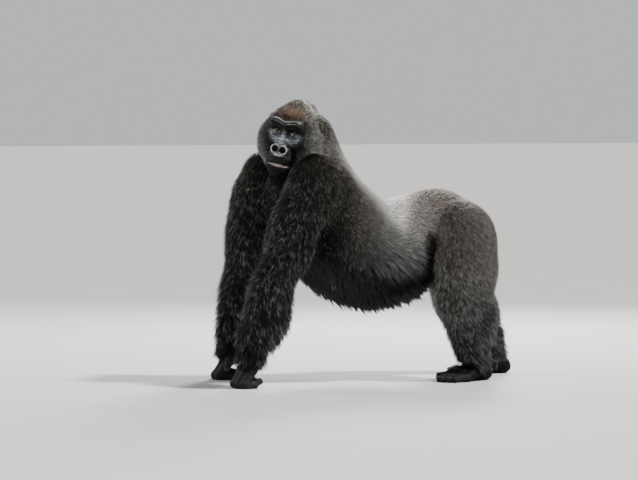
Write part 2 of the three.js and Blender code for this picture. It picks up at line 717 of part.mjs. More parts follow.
function addTrunkAndNeck() {
  const trunkPiece = piece({
    ...TRUNK,
    box: [[-300, -480, 290], [300, 700, 1080]],
    seed: [0, 100, 600],
    without: [TO_NECK, TO_ARM[LEFT], TO_ARM[RIGHT], TO_LEG(LEFT), TO_LEG(RIGHT)],
  });
  addNode("trunk", trunkPiece, SILVER);
  const neckPiece = piece({
    ...NECK,
    box: [[-230, -560, 780], [300, -20, 1330]],
    seed: [14, -245, 1000],
    within: TO_NECK,
    without: [TO_HEAD, TO_ARM[LEFT], TO_ARM[RIGHT]],
  });
  addNode("neck", neckPiece, GREY);
}

function addHead() {
  const headPiece = piece({
    ...HEAD,
    box: round(212, onHead(0, 62, -25)),
    seed: onHead(0, 60, 0),
    within: TO_HEAD,
    without: [TO_ARM[LEFT], TO_EAR(LEFT), TO_EAR(RIGHT)],
  });
  const sockets = bothSides((side) => eyeball(side, EYE_RADIUS + GAP));
  addNode("head", without(headPiece, sockets), BROWN);
  for (const side of [LEFT, RIGHT]) {
    const earPiece = piece({
      ...EAR_SHELL,
      box: round(50, onHead(side * EAR[0], EAR[1], EAR[2])),
      seed: onHead(side * (EAR[0] + 5), EAR[1] + 16, EAR[2] + 12),
      within: TO_EAR(side),
    });
    addNode(`ear_${NAME[side]}`, earPiece, BARE_SKIN);
    addNode(`eye_${NAME[side]}`, eyeball(side, EYE_RADIUS), IRIS, 0.1);
  }
}

function addArm(side) {
  const upper = piece({
    ...LIMB,
    box: round(190, along(SHOULDER[side], ELBOW[side], -0.1), ELBOW[side]),
    seed: along(SHOULDER[side], ELBOW[side], 0.6),
    within: TO_ARM[side],
    without: [TO_FOREARM(side)],
  });
  addNode(`upper_arm_${NAME[side]}`, upper, BLACK);
  const fore = piece({
    ...LIMB,
    box: round(150, ELBOW[side], WRIST[side]),
    seed: along(ELBOW[side], WRIST[side], 0.5),
    within: TO_FOREARM(side),
    without: [TO_HAND(side)],
  });
  addNode(`forearm_${NAME[side]}`, fore, BLACK);
  const { folded, thumb } = fingers(side);
  const palm = piece({
    ...HAND,
    box: round(130, WRIST[side], moved(WRIST[side], [0, -10, -120])),
    seed: moved(WRIST[side], [0, 0, -30]),
    within: TO_HAND(side),
  });
  addDigits(`hand_${NAME[side]}`, palm.intersect(ABOVE_FLOOR), [...folded, thumb], "finger");
}

function addLeg(side) {
  const thigh = piece({
    ...LIMB,
    box: round(200, HIP[side], KNEE[side]),
    seed: along(HIP[side], KNEE[side], 0.7),
    within: TO_LEG(side),
    without: [TO_SHIN(side)],
  });
  addNode(`thigh_${NAME[side]}`, thigh, GREY);
  const shin = piece({
    ...LIMB,
    box: round(160, KNEE[side], ANKLE[side]),
    seed: along(KNEE[side], ANKLE[side], 0.5),
    within: TO_SHIN(side),
    without: [TO_FOOT(side)],
  });
  addNode(`shin_${NAME[side]}`, shin, BLACK);
  const { small, big } = toes(side);
  const sole = piece({
    ...FOOT,
    box: round(240, ANKLE[side]),
    seed: moved(ANKLE[side], [0, 0, -30]),
    within: TO_FOOT(side),
  });
  addDigits(`foot_${NAME[side]}`, sole.intersect(ABOVE_FLOOR), [...small, big], "toe");
}

// A hand or foot with a nail let into each of its digits.
function addDigits(name, solid, digits, digitName) {
  addNode(name, without(solid, digits.map((digit) => nail(digit, GAP))), BARE_SKIN);
  digits.forEach((digit, i) => addNode(`${name}_${digitName}_nail_${i + 1}`, nail(digit), HORN, 0.4));
}

addTrunkAndNeck();
addHead();
for (const side of [LEFT, RIGHT]) {
  addArm(side);
  addLeg(side);
}

// The whole stands with the middle of its box over the origin.
const bounds = new THREE.Box3().setFromObject(gorilla);
const middle = bounds.getCenter(new THREE.Vector3());
gorilla.position.set(-middle.x, -middle.y, 0);
gorilla.updateMatrixWorld(true);

export default gorilla;
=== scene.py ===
import math
from collections import namedtuple
from functools import partial

import bpy
import numpy as np
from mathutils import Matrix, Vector, kdtree


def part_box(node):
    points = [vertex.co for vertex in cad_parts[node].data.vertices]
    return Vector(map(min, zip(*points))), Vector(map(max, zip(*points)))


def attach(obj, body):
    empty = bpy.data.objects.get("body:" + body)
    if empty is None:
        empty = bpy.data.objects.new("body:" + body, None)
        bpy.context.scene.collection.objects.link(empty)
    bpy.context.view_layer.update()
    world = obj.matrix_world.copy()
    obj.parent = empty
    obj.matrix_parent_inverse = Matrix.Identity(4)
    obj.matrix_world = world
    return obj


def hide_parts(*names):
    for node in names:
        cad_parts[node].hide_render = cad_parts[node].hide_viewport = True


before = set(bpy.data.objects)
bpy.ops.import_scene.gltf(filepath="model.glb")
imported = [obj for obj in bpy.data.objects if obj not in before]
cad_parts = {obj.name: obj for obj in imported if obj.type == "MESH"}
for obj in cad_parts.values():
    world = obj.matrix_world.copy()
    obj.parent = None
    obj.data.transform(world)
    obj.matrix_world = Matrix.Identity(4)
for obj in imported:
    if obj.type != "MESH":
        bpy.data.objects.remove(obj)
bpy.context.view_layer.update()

# ================================================================ the coat
# A silverback's hair is short and flat on the back and rump, and long on the arms, legs and belly.
# Each kind of coat has the depth at which its tips stand off the skin, and the size and colour of its
# tufts. Lengths are in millimetres, and colours are linear red, green and blue.

# The gap is how far apart tufts stand and stray is how much they wander from their way. Next comes the
# share with pale tips, grizzled on dry hair and painted glints on wet hair, and wet is how much they
# gather into points.
Coat = namedtuple("Coat", "depth length width gap stray frost wet colour")

BACK = Coat(8, 20, 2.6, 3.2, 0.28, 0.48, 0.0, (0.170, 0.160, 0.150))
RUMP = Coat(9, 19, 2.6, 3.2, 0.34, 0.48, 0.0, (0.200, 0.174, 0.158))
RIBS = Coat(14, 28, 3.0, 3.7, 0.30, 0.34, 0.0, (0.045, 0.043, 0.041))
BELLY = Coat(26, 58, 4.6, 4.6, 0.24, 0.04, 0.9, (0.004, 0.004, 0.004))
CHEST = Coat(18, 40, 4.6, 4.8, 0.24, 0.02, 0.1, (0.004, 0.004, 0.004))
SHOULDER = Coat(18, 26, 2.7, 3.6, 0.26, 0.28, 0.2, (0.022, 0.019, 0.014))
NAPE = Coat(13, 24, 2.6, 3.4, 0.28, 0.46, 0.0, (0.092, 0.085, 0.078))
ARM = Coat(26, 48, 3.1, 3.8, 0.36, 0.27, 0.7, (0.008, 0.009, 0.010))
FOREARM = Coat(34, 58, 3.4, 4.0, 0.42, 0.26, 0.8, (0.005, 0.006, 0.007))
THIGH = Coat(22, 42, 2.9, 3.6, 0.36, 0.58, 0.45, (0.075, 0.066, 0.059))
SHIN = Coat(26, 46, 3.0, 3.8, 0.38, 0.32, 0.6, (0.015, 0.016, 0.017))
CROWN = Coat(9, 15, 2.3, 2.7, 0.30, 0.40, 0.0, (0.046, 0.044, 0.039))
CHEEK = Coat(12, 20, 2.4, 2.8, 0.36, 0.48, 0.1, (0.060, 0.067, 0.069))
DOWN = Coat(0, 9, 1.5, 2.6, 0.30, 0.25, 0.0, (0.018, 0.019, 0.020))
PAW = Coat(4, 14, 2.6, 4.5, 0.25, 0.08, 0.4, (0.004, 0.004, 0.005))
BARE = Coat(0, 8, 2.0, 0.0, 0.20, 0.00, 0.0, (0.014, 0.014, 0.015))


# ================================================================ the flesh
# Bones as cones with round ends and muscles as ellipsoids, in millimetres and out to the tips of the
# coat. They are blended into one smooth surface, and each shrinks by the depth of its coat to the skin.

LEFT, RIGHT = 1, -1
SIDES = (LEFT, RIGHT)
NAME = {LEFT: "left", RIGHT: "right"}

# The parts of the body that have a coat and an unwrap of their own.
TRUNK, HEAD, NECK, LEG, ARM_OF = 0, 1, 2, {LEFT: 3, RIGHT: 4}, {LEFT: 5, RIGHT: 6}

# A leaf is one bone or muscle, and the way its hair lies. A piece of flesh is a field and its leaves.
Leaf = namedtuple("Leaf", "field coat lie part")
Flesh = namedtuple("Flesh", "field low high leaves")


def both(make):
    return [make(side) for side in SIDES]


def norm(v):
    """The length of each row."""
    return np.linalg.norm(v, axis=1)


def bone(a, b, ra, rb, coat, lie=None, part=TRUNK):
    """A cone with round ends. The field of a shape is the distance to its skin, less than 0 inside."""
    a, b = np.array(a, float), np.array(b, float)
    ra, rb, along = ra - coat.depth, rb - coat.depth, b - a
    square = along @ along

    def field(p):
        off = p - a
        t = np.clip(off @ along / square, 0, 1)
        off -= t[:, None] * along
        return np.sqrt(np.einsum("ij,ij->i", off, off)) - (ra + (rb - ra) * t)

    thick = max(ra, rb)
    leaf = Leaf(field, coat, along if lie is None else lie, part)
    return Flesh(field, np.minimum(a, b) - thick, np.maximum(a, b) + thick, [leaf])


def turned(yaw=0, roll=0, pitch=0):
    """Rotation about X by pitch, then Y by roll, then Z by yaw, in degrees."""
    (cz, cy, cx) = np.cos(np.radians((yaw, roll, pitch)))
    (sz, sy, sx) = np.sin(np.radians((yaw, roll, pitch)))
    about_z = np.array([[cz, -sz, 0], [sz, cz, 0], [0, 0, 1]])
    about_y = np.array([[cy, 0, sy], [0, 1, 0], [-sy, 0, cy]])
    about_x = np.array([[1, 0, 0], [0, cx, -sx], [0, sx, cx]])
    return about_z @ about_y @ about_x


def muscle(centre, radii, coat, lie=(0, 0.7, -0.7), yaw=0, pitch=0, part=TRUNK):
    centre = np.array(centre, float)
    radii = np.array(radii, float) - coat.depth
    turn = turned(yaw, 0, pitch)

    def field(p):
        q = ((p - centre) @ turn) / radii
        near = np.sqrt(np.einsum("ij,ij->i", q, q))
        q /= radii
        slope = np.sqrt(np.einsum("ij,ij->i", q, q))
        return near * (near - 1) / np.maximum(slope, 1e-9)

    far = radii.max()
    return Flesh(field, centre - far, centre + far, [Leaf(field, coat, lie, part)])


def off_box(p, low, high):
    """How far each point is outside a box, and less than 0 inside it."""
    off = np.abs(p - (low + high) / 2) - (high - low) / 2
    return np.maximum(np.maximum(off[:, 0], off[:, 1]), off[:, 2])


def blend(a, b, k):
    """The lesser of two distances, rounded where they are within k of each other."""
    return np.minimum(a, b) - np.maximum(k - np.abs(a - b), 0) ** 2 / (4 * k)


FAR = 80.0  # beyond this a field is only known to be far off


def joined(parts, k):
    """One surface round some shapes, each blended over its own width with those before it."""
    widths = k if isinstance(k, list) else [k] * len(parts)

    def field(p):
        d = np.full(len(p), FAR)
        for part, width in zip(parts, widths):
            near = np.flatnonzero(off_box(p, part.low, part.high) < d + width)
            if len(near):
                d[near] = blend(d[near], part.field(p[near]), width)
        return d

    low = np.min([part.low for part in parts], 0)
    high = np.max([part.high for part in parts], 0)
    return Flesh(field, low, high, [leaf for part in parts for leaf in part.leaves])


def hollowed(shape, hollows, k):
    """A shape with others pressed out of it, and the edges rounded over k."""
    def field(p):
        d = shape.field(p)
        for hollow in hollows:
            near = np.flatnonzero(off_box(p, hollow.low, hollow.high) < k)
            if len(near):
                d[near] = -blend(-d[near], hollow.field(p[near]), k)
        return d

    return Flesh(field, shape.low, shape.high, shape.leaves)


JOINTS = {
    "shoulder": {LEFT: (232, -318, 850), RIGHT: (-200, -450, 832)},
    "elbow": {LEFT: (296, -496, 470), RIGHT: (-236, -484, 452)},
    "wrist": {LEFT: (266, -596, 138), RIGHT: (-214, -548, 138)},
    "hip": {LEFT: (112, 430, 668), RIGHT: (-112, 440, 668)},
    "knee": {LEFT: (196, 394, 352), RIGHT: (-186, 520, 338)},
    "ankle": {LEFT: (186, 482, 84), RIGHT: (-172, 700, 88)},
}


def joint(name, side):
    return np.array(JOINTS[name][side], float)


def along(a, b, t, off=(0, 0, 0)):
    return a + (b - a) * t + np.array(off)


def down_flank(p):
    """Straight down behind the arm, and further back the nearer the loins."""
    back = np.clip((p[:, 1] + 220) / 420, 0, 1)
    return np.stack([0 * back, 0.05 + 1.05 * back, 0.35 * back - 1], 1)


def trunk():
    return joined([
        muscle((0, 360, 670), (174, 198, 192), RUMP, (0, 0.75, -0.6)),
        *both(lambda s: muscle((96 * s, 486, 604), (122, 132, 186), RUMP, (0.1 * s, 0.3, -1))),
        muscle((0, 225, 642), (180, 225, 183), BACK, (0, 1, -0.4)),
        muscle((0, 50, 545), (245, 325, 232), BELLY, down_flank),
        muscle((10, -112, 655), (228, 232, 264), RIBS, down_flank),
        muscle((22, -300, 690), (186, 134, 198), CHEST, (0, 0.2, -1)),
        bone((0, 60, 700), (8, -188, 872), 110, 134, BACK, (0, 1, -0.3)),
        muscle((124, -215, 850), (135, 146, 162), SHOULDER, (0.25, 0.75, -0.7)),
        muscle((-104, -300, 830), (125, 146, 168), SHOULDER, (-0.25, 0.75, -0.7)),
    ], 60)


def neck():
    return joined([
        bone((10, -190, 900), (20, -250, 1090), 140, 120, NAPE, (0, 0.75, -0.8), NECK),
        bone((20, -320, 900), (50, -340, 1000), 108, 84, CHEST, (0.2, -0.1, -1), NECK),
    ], 50)


def arm(side):
    """The far arm is slimmer from front to back than the near one, and its shoulder is hunched higher."""
    shoulder, elbow, wrist = (joint(name, side) for name in ("shoulder", "elbow", "wrist"))
    deep, raised = (1, 22) if side == LEFT else (0.78, 42)
    down, lower = elbow - shoulder, (0.1 * side, 0.25, -1)
    limb, swell = partial(bone, part=ARM_OF[side]), partial(muscle, part=ARM_OF[side])
    return joined([
        swell(along(shoulder, elbow, 0.02, (-24 * side, 44, raised)), (124, 100 * deep + 30, 172),
              SHOULDER, (0.15 * side, 0.3, -1)),
        limb(shoulder, elbow, 84 * deep + 36, 89, ARM, down),
        swell(along(shoulder, elbow, 0.5), (102, 78 * deep + 36, 186), ARM, down),
        limb(elbow, wrist, 88, 86, FOREARM, lower),
        swell(along(elbow, wrist, 0.35, (0, 14, 0)), (108, 114, 178), FOREARM, lower),
    ], 45)


def leg(side):
    hip, knee, ankle = (joint(name, side) for name in ("hip", "knee", "ankle"))
    down = (0.04 * side, 0.45, -1)
    limb, swell = (partial(kind, lie=down, part=LEG[side]) for kind in (bone, muscle))
    return joined([
        limb(hip, knee, 146, 100, THIGH),
        swell(along(hip, knee, 0.45, (8 * side, 52, -10)), (118, 144, 212), THIGH),
        limb(knee, ankle, 98, 81, SHIN),
        swell(along(knee, ankle, 0.3, (0, 56, 0)), (92, 118, 170), SHIN),
    ], 45)


def standing(at, heading, side):
    """A frame at a point on the floor: u ahead, v out to the animal's own side, z up."""
    c, s = math.cos(math.radians(heading)), math.sin(math.radians(heading))
    ahead, out = np.array((side * s, -c, 0)), np.array((side * c, s, 0))
    base = np.array((at[0], at[1], 0))
    return lambda u, v, z: base + u * ahead + v * out + np.array((0, 0, z))


# Fingers: how far out each lies, how far it is drawn back, and half its thickness.
FINGERS = ((48, 14, 16), (17, 2, 17.5), (-16, 0, 17.5), (-48, 10, 17))
HAND_HEADING = 8


def hand(side):
    wrist = joint("wrist", side)
    at = standing(wrist, HAND_HEADING, side)
    ahead = at(1, 0, -0.6) - at(0, 0, 0)
    digit, swell = (partial(kind, lie=ahead, part=ARM_OF[side]) for kind in (bone, muscle))
    shapes = [
        bone(wrist + (0, 0, 90), at(0, 0, 118), 84, 42, FOREARM, (0, 0.2, -1), ARM_OF[side]),
        swell(at(6, 0, 104), (68, 38, 52), PAW, yaw=HAND_HEADING * side),
    ]
    for out, back, thick in FINGERS:
        base, knuckle = at(26 - back, out * 0.92, 78), at(66 - back, out, thick)
        fold, tip = at(18 - back, out * 0.97, thick - 2), at(-10 - back, out * 0.88, thick + 17)
        shapes += [
            digit(at(-6, out * 0.5, 124), base, 32, 24, PAW),
            digit(base, knuckle, 20, thick + 2, BARE),
            digit(knuckle, fold, thick + 2, thick, BARE),
            digit(fold, tip, thick, thick - 2, BARE),
        ]
    palm, middle, tip = at(-10, -40, 116), at(14, -74, 84), at(24, -80, 48)
    thumb = [digit(palm, middle, 22, 17, BARE), digit(middle, tip, 17, 13.5, BARE)]
    return joined([*shapes, *thumb], 9)


# Toes: how far out each lies, how far it reaches, and half its thickness.
TOES = ((-8, 190, 15.5), (20, 192, 15.5), (46, 180, 15), (70, 160, 14))
FOOT_HEADING = {LEFT: 16, RIGHT: 10}
SOLE = 14  # how high the bones of the toes lie


def foot(side):
    ankle = joint("ankle", side)
    at = standing(ankle, FOOT_HEADING[side], side)
    ahead = at(1, 0, -0.3) - at(0, 0, 0)
    digit, swell = (partial(kind, lie=ahead, part=LEG[side]) for kind in (bone, muscle))
    shapes = [
        bone(ankle + (0, 0, 90), ankle - (0, 0, 24), 74, 40, SHIN, (0, 0.3, -1), LEG[side]),
        swell(at(-40, 0, 34), (48, 52, 44), PAW, yaw=FOOT_HEADING[side] * side),
        digit(at(-30, 0, 34), at(80, 12, 28), 44, 40, PAW),
    ]
    for out, reach, thick in TOES:
        base, middle = at(reach - 72, out * 0.9, SOLE + 4), at(reach - 26, out * 1.02, SOLE + 8)
        shapes += [
            digit(at(20, out * 0.4, 38), base, 34, 22, PAW),
            digit(base, middle, 18, thick, BARE),
            digit(middle, at(reach, out * 1.06, SOLE - 2), thick, thick - 1, BARE),
        ]
    heel, base, tip = at(22, -20, 34), at(88, -62, SOLE + 8), at(134, -82, SOLE + 3)
    big_toe = [digit(heel, base, 32, 24, BARE), digit(base, tip, 22, 19, BARE)]
    return joined([*shapes, *big_toe], 10)


# ================================================================ the head
# In its own frame the face looks along -Y, its left is +X, and the origin is midway between the eyes.
# A high crest of muscle under hair, a heavy bare brow over deep sockets, a short broad nose and lips.

MID_EYES = np.array((139.0, -394.0, 1116.0))
HEAD_TURN = turned(54, 13, 3)
EYE_AT = np.array((42.0, 6.0, 3.0))
EYE_RADIUS = 13.0
FACE_CENTRE = np.array((0.0, -70.0, -40.0))


def off_face(p):
    """Hair on the head grows away from the face, over the crown and down the cheeks."""
    return p - FACE_CENTRE


def off_crown(p):
    return np.array((0.0, 1.0, 0.05)) + 0 * p


def of_head(coat, **ways):
    """Makers of bones and muscles of the head that share a coat."""
    return [partial(kind, coat=coat, part=HEAD, **ways) for kind in (bone, muscle)]


groove, dent = of_head(BARE)


def skull():
    crest, dome = of_head(CROWN, lie=off_crown)
    jaw, cheek = of_head(CHEEK, lie=off_face)
    return joined([
        dome((0, 92, 28), (92, 130, 94)),
        crest((0, 24, 56), (0, 100, 96), 42, 43),
        crest((0, 100, 96), (0, 188, 64), 43, 80),
        *both(lambda s: dome((s * 46, 88, 20), (60, 100, 84), pitch=14)),
        *both(lambda s: cheek((s * 88, 80, -44), (64, 84, 94))),
        *both(lambda s: jaw((s * 78, 92, -100), (s * 28, 4, -164), 58, 30)),
        cheek((0, 84, -116), (86, 98, 76)),
    ], 34)


def face():
    strip, lump = of_head(DOWN, lie=off_face)
    return joined([
        *both(lambda s: strip((0, -22, 36), (s * 54, -16, 41), 18, 20)),  # brow ridge
        *both(lambda s: strip((s * 54, -16, 41), (s * 76, 10, 24), 19, 16)),
        *both(lambda s: strip((s * 72, 10, 22), (s * 74, 18, -18), 15, 17)),  # outer rim of the socket
        *both(lambda s: strip((s * 42, 0, -28), (s * 80, 30, -34), 17, 24)),  # cheekbone
        strip((0, -4, 20), (0, -18, -40), 13, 16),  # bridge of the nose
        lump((0, 26, -30), (58, 34, 60)),
        lump((0, -2, -84), (54, 44, 52)),  # muzzle
        lump((0, -12, -114), (56, 38, 25)),  # upper lip
        strip((-36, -16, -151), (36, -16, -151), 19, 19),  # lower lip
        lump((0, 0, -172), (44, 34, 30)),  # chin
    ], 13)


def nose():
    _, lump = of_head(BARE, lie=off_face)
    return joined([
        *both(lambda s: lump((s * 21.5, -44, -72), (22, 15, 24), yaw=s * 22)),  # wing round each nostril
        lump((0, -46, -84), (16, 13, 24)),
    ], 6)


def brow_folds():
    """Two thin folds of skin along the top of each half of the brow."""
    def fold(side, rise, lift):
        inner, outer = (0, -31 - rise, 47 + lift), (side * 56, -27 - rise, 53 + lift)
        end = (side * 78, 2, 38 + lift)
        return [groove(inner, outer, 2.6, 2.8), groove(outer, end, 2.8, 2.2)]

    rises = ((2.5, 0), (-3.5, 6))
    return [part for side in SIDES for rise, lift in rises for part in fold(side, rise, lift)]


LID_ANGLES = (0.34, 0.42)  # how far the edges of the upper and lower lid stand off level, in radians


def above_lid(q, angle):
    """How far points lie beyond the edge of the upper lid, seen from the middle of the eye."""
    return q[:, 2] * math.cos(angle) + q[:, 1] * math.sin(angle)


def lid(side):
    """A shell round the eyeball, with a slit that narrows to a point at both corners."""
    centre = EYE_AT * (side, 1, 1)
    radius, half = EYE_RADIUS + 1.8, 1.6

    def field(p):
        q = p - centre
        shell = np.abs(norm(q) - radius) - half
        upper = above_lid(q, LID_ANGLES[0])
        lower = above_lid(q * (1, 1, -1), LID_ANGLES[1])
        slit = np.maximum(np.maximum(upper, lower), q[:, 1] + 2.0)
        return -blend(-shell, slit, 1.2)

    reach = radius + half
    return Flesh(field, centre - reach, centre + reach, [])


NOSTRIL_AT = (18, -63, -71)


def head():
    shape = joined([joined([skull(), face()], 20), nose()], 8)
    sockets = both(lambda s: dent((s * 42, -20, 3), (25, 24, 17)))
    nostrils = both(lambda s: dent(np.array(NOSTRIL_AT) * (s, 1, 1), (15.5, 19, 15.5)))
    mouth = both(lambda s: groove((0, -62, -135), (s * 56, -24, -140), 4.5, 4.5))
    beside_nose = both(lambda s: groove((s * 44, -38, -50), (s * 64, -20, -104), 6, 8))
    open_face = hollowed(shape, [*sockets, *nostrils, *mouth, *beside_nose], 6)
    return joined([open_face, *brow_folds(), *both(lid)], [1.0, *[3.0] * 8, 6.0, 6.0])


EAR_AT = np.array((114, 128, 26))


def ear(side):
    at = EAR_AT * (side, 1, 1)
    _, cup = of_head(BARE, lie=off_face, yaw=side * 26, pitch=-8)
    return hollowed(cup(at, (14, 26, 34)), [cup(at + (side * 13, -6, 3), (12, 13, 19))], 4)


def carried(shape, origin, turn):
    """A shape written in a frame of its own, put in the body's."""
    def moved(field):
        return lambda p: field((p - origin) @ turn)

    def way(lie):
        if callable(lie):
            return lambda p: lie((p - origin) @ turn) @ turn.T
        return turn @ np.array(lie)

    corners = np.indices((2, 2, 2)).reshape(3, 8).T
    corners = (shape.low + corners * (shape.high - shape.low)) @ turn.T + origin
    leaves = [Leaf(moved(leaf.field), leaf.coat, way(leaf.lie), leaf.part) for leaf in shape.leaves]
    return Flesh(moved(shape.field), corners.min(0), corners.max(0), leaves)


# The shapes of the body in order, and the width over which each blends with those before it.
BODY = joined([
    trunk(),
    neck(),
    *both(leg),
    *both(arm),
    carried(head(), MID_EYES, HEAD_TURN),
    *both(lambda side: carried(ear(side), MID_EYES, HEAD_TURN)),
    *both(hand),
    *both(foot),
], [1, 60, 20, 20, 26, 26, 32, 6, 6, 12, 12, 12, 12])


# ================================================================ the skin
# One closed hide over all the flesh, from the crown to the soles. It is traced on a coarse grid, then
# its edges are split and drawn onto the flesh until they are short enough for each part to show.

GRID = 10.0  # millimetres
ROUNDS = 6


def traced(field, low, high, step):
    """The closed surface where a field is 0, with one vertex in each cell that it crosses."""
    count = np.ceil((high - low) / step).astype(int) + 4
    start = (low + high) / 2 - (count - 1) * step / 2
    value = field(start + step * np.indices(count).reshape(3, -1).T).reshape(count)
    value[value == 0] = 1e-6
    unit = np.eye(3, dtype=int)
    spots = np.zeros((*(count - 1), 3))
    crossings = np.zeros(count - 1)
    index = np.indices(count - 1).transpose(1, 2, 3, 0)

    def at(corner):
        return value[tuple(slice(c, c + n - 1) for c, n in zip(corner, count))]

    for axis, u, v in np.ndindex(3, 2, 2):
        corner = np.insert([u, v], axis, 0)
        a, b = at(corner), at(corner + unit[axis])
        cut = (a < 0) != (b < 0)
        t = np.where(cut, a / np.where(cut, a - b, 1), 0)
        crossings += cut
        spots += cut[..., None] * (corner + t[..., None] * unit[axis])
    used = crossings > 0
    number = np.full(count - 1, -1)
    number[used] = np.arange(used.sum())
    points = start + step * (index[used] + spots[used] / crossings[used][:, None])
    triangles = []
    for axis in range(3):
        p, q = (axis + 1) % 3, (axis + 2) % 3
        cell = np.argwhere((value < 0) != (np.roll(value, -1, axis) < 0))
        round_it = ((0, 0), (1, 0), (1, 1), (0, 1))
        a, b, c, d = (number[tuple((cell - i * unit[p] - j * unit[q]).T)] for i, j in round_it)
        outward = value[tuple(cell.T)] < 0
        b, d = np.where(outward, b, d), np.where(outward, d, b)
        triangles += [np.stack([a, b, c], 1), np.stack([a, c, d], 1)]
    return points, np.concatenate(triangles)


def slope(field, points, small=0.05):
    """The field and its slope at some points."""
    d = field(points)
    rises = [field(points + small * way) - d for way in np.eye(3)]
    return d, np.stack(rises, 1) / small


def settled(field, points, most):
    """Points drawn onto the surface, each by no more than a given distance."""
    d, rise = slope(field, points)
    step = d / np.maximum((rise ** 2).sum(1), 0.25)
    step = np.clip(step, -most, most)
    return points - step[:, None] * rise


def edges_of(triangles):
    """Each edge once, as its two ends, and which three edges each triangle has."""
    pairs = np.sort(triangles[:, [0, 1, 1, 2, 2, 0]].reshape(-1, 2), axis=1)
    many = triangles.max() + 1
    keys, which = np.unique(pairs[:, 0] * many + pairs[:, 1], return_inverse=True)
    return np.stack([keys // many, keys % many], 1), which.reshape(-1, 3)


def relaxed(points, triangles, share):
    """Points drawn some way towards the middle of their neighbours."""
    edges, _ = edges_of(triangles)
    total, count = np.zeros_like(points), np.zeros(len(points))
    for a, b in ((0, 1), (1, 0)):
        for axis in range(3):
            total[:, axis] += np.bincount(edges[:, a], points[edges[:, b], axis], len(points))
        count += np.bincount(edges[:, a], minlength=len(points))
    return points + share * (total / np.maximum(count, 1)[:, None] - points)


def split(points, triangles, longest):
    """Every edge longer than its limit is halved, and each triangle on it is cut into 2 to 4 pieces.

    The columns of six are a triangle's corners and then the middles of its edges, or -1 for a whole edge.
    """
    edges, which = edges_of(triangles)
    ends = points[edges]
    length = norm(ends[:, 0] - ends[:, 1])
    cut = length > longest(ends.mean(1))
    middle = np.full(len(edges), -1)
    middle[cut] = len(points) + np.arange(cut.sum())
    points = np.concatenate([points, ends[cut].mean(1)])
    mids = middle[which]
    count = (mids >= 0).sum(1)
    pieces = [triangles[count == 0]]
    for turn in range(3):
        six = np.hstack([np.roll(triangles, -turn, 1), np.roll(mids, -turn, 1)])
        one, two = six[(count == 1) & (six[:, 3] >= 0)], six[(count == 2) & (six[:, 5] < 0)]
        pieces += [one[:, [0, 3, 2]], one[:, [3, 1, 2]]]
        pieces += [two[:, [0, 3, 4]], two[:, [3, 1, 4]], two[:, [0, 4, 2]]]
    six = np.hstack([triangles, mids])[count == 3]
    pieces += [six[:, [0, 3, 5]], six[:, [3, 1, 4]], six[:, [5, 4, 2]], six[:, [3, 4, 5]]]
    fresh = np.zeros(len(points), bool)
    fresh[triangles[count > 0]] = True
    fresh[mids[mids >= 0]] = True
    return points, np.concatenate(pieces), fresh


HEAD_MIDDLE = np.array((0, 70, -30))


def to_head(points):
    return (points - MID_EYES) @ HEAD_TURN


def longest_edge(points):
    """How long an edge of the skin may be at a place, in millimetres."""
    limit = np.where(points[:, 2] < 190, 12.0, 22.0)
    q = to_head(points)

    def near(place, reach, least, rise):
        off = norm(q - place) - reach
        return np.minimum(limit, np.maximum(least, off * rise + least))

    limit = near(HEAD_MIDDLE, 165, 9.5, 0.2)
    off_front = np.maximum(q[:, 1] - 12, 0) + np.maximum(np.abs(q[:, 0]) - 72, 0)
    off_front += np.maximum(q[:, 2] - 62, 0) + np.maximum(-168 - q[:, 2], 0)
    limit = np.minimum(limit, 2.55 + off_front * 0.14)
    for side in SIDES:
        limit = near(EYE_AT * (side, 1, 1), 18, 1.7, 0.12)
        limit = near(EAR_AT * (side, 1, 1), 45, 4.5, 0.1)
    return limit


points, triangles = traced(BODY.field, BODY.low, BODY.high, GRID)
points = settled(BODY.field, relaxed(points, triangles, 0.5), 5.0)
for _ in range(ROUNDS):
    points, triangles, fresh = split(points, triangles, longest_edge)
    points[fresh] = settled(BODY.field, relaxed(points, triangles, 0.35)[fresh], 4.0)
points[:, 2] = np.maximum(points[:, 2], 0)



def unit(v, least=1e-9):
    return v / np.maximum(norm(v), least)[:, None]


normals = unit(slope(BODY.field, points)[1])


# ================================================================ the coat over the skin
# How much each shape of flesh counts at each point of the skin, and from that the kind of hair there.
# The bare face and the ears have outlines of their own. Last come the wrinkles pressed into the face.

LEAVES = BODY.leaves


def shares(points, soft):
    """How much each shape of flesh counts at a point: most where it is nearest."""
    near = np.stack([leaf.field(points) for leaf in LEAVES], 1)
    weight = np.exp(-(near - near.min(1)[:, None]) / soft[:, None])
    return weight / weight.sum(1)[:, None]


def ramp(value, low, high):
    """From 0 at low to 1 at high, with soft ends."""
    t = np.clip((value - low) / (high - low), 0, 1)
    return t * t * (3 - 2 * t)


def fall(value, low, high):
    """From 1 at low to 0 at high, with soft ends."""
    return 1 - ramp(value, low, high)


in_head = to_head(points)
near_head = fall(norm(in_head - HEAD_MIDDLE), 170, 230)
SOFT, SHARP = 24, 7  # over how many millimetres two coats mix, on the body and on the head and low down
soft = SOFT - (SOFT - SHARP) * near_head
soft[points[:, 2] < 170] = SHARP
weight = shares(points, soft)


def blended(value):
    """A value of the shapes of flesh, taken over the skin by their shares."""
    return weight @ np.array([value(leaf) for leaf in LEAVES], float)


def marked(before, after, share):
    """A colour or a size of the coat, changed to another by a share from 0 to 1. One number is a grey."""
    share = share.reshape(-1, *[1] * (before.ndim - 1))
    return before + share * (np.array(after) - before)
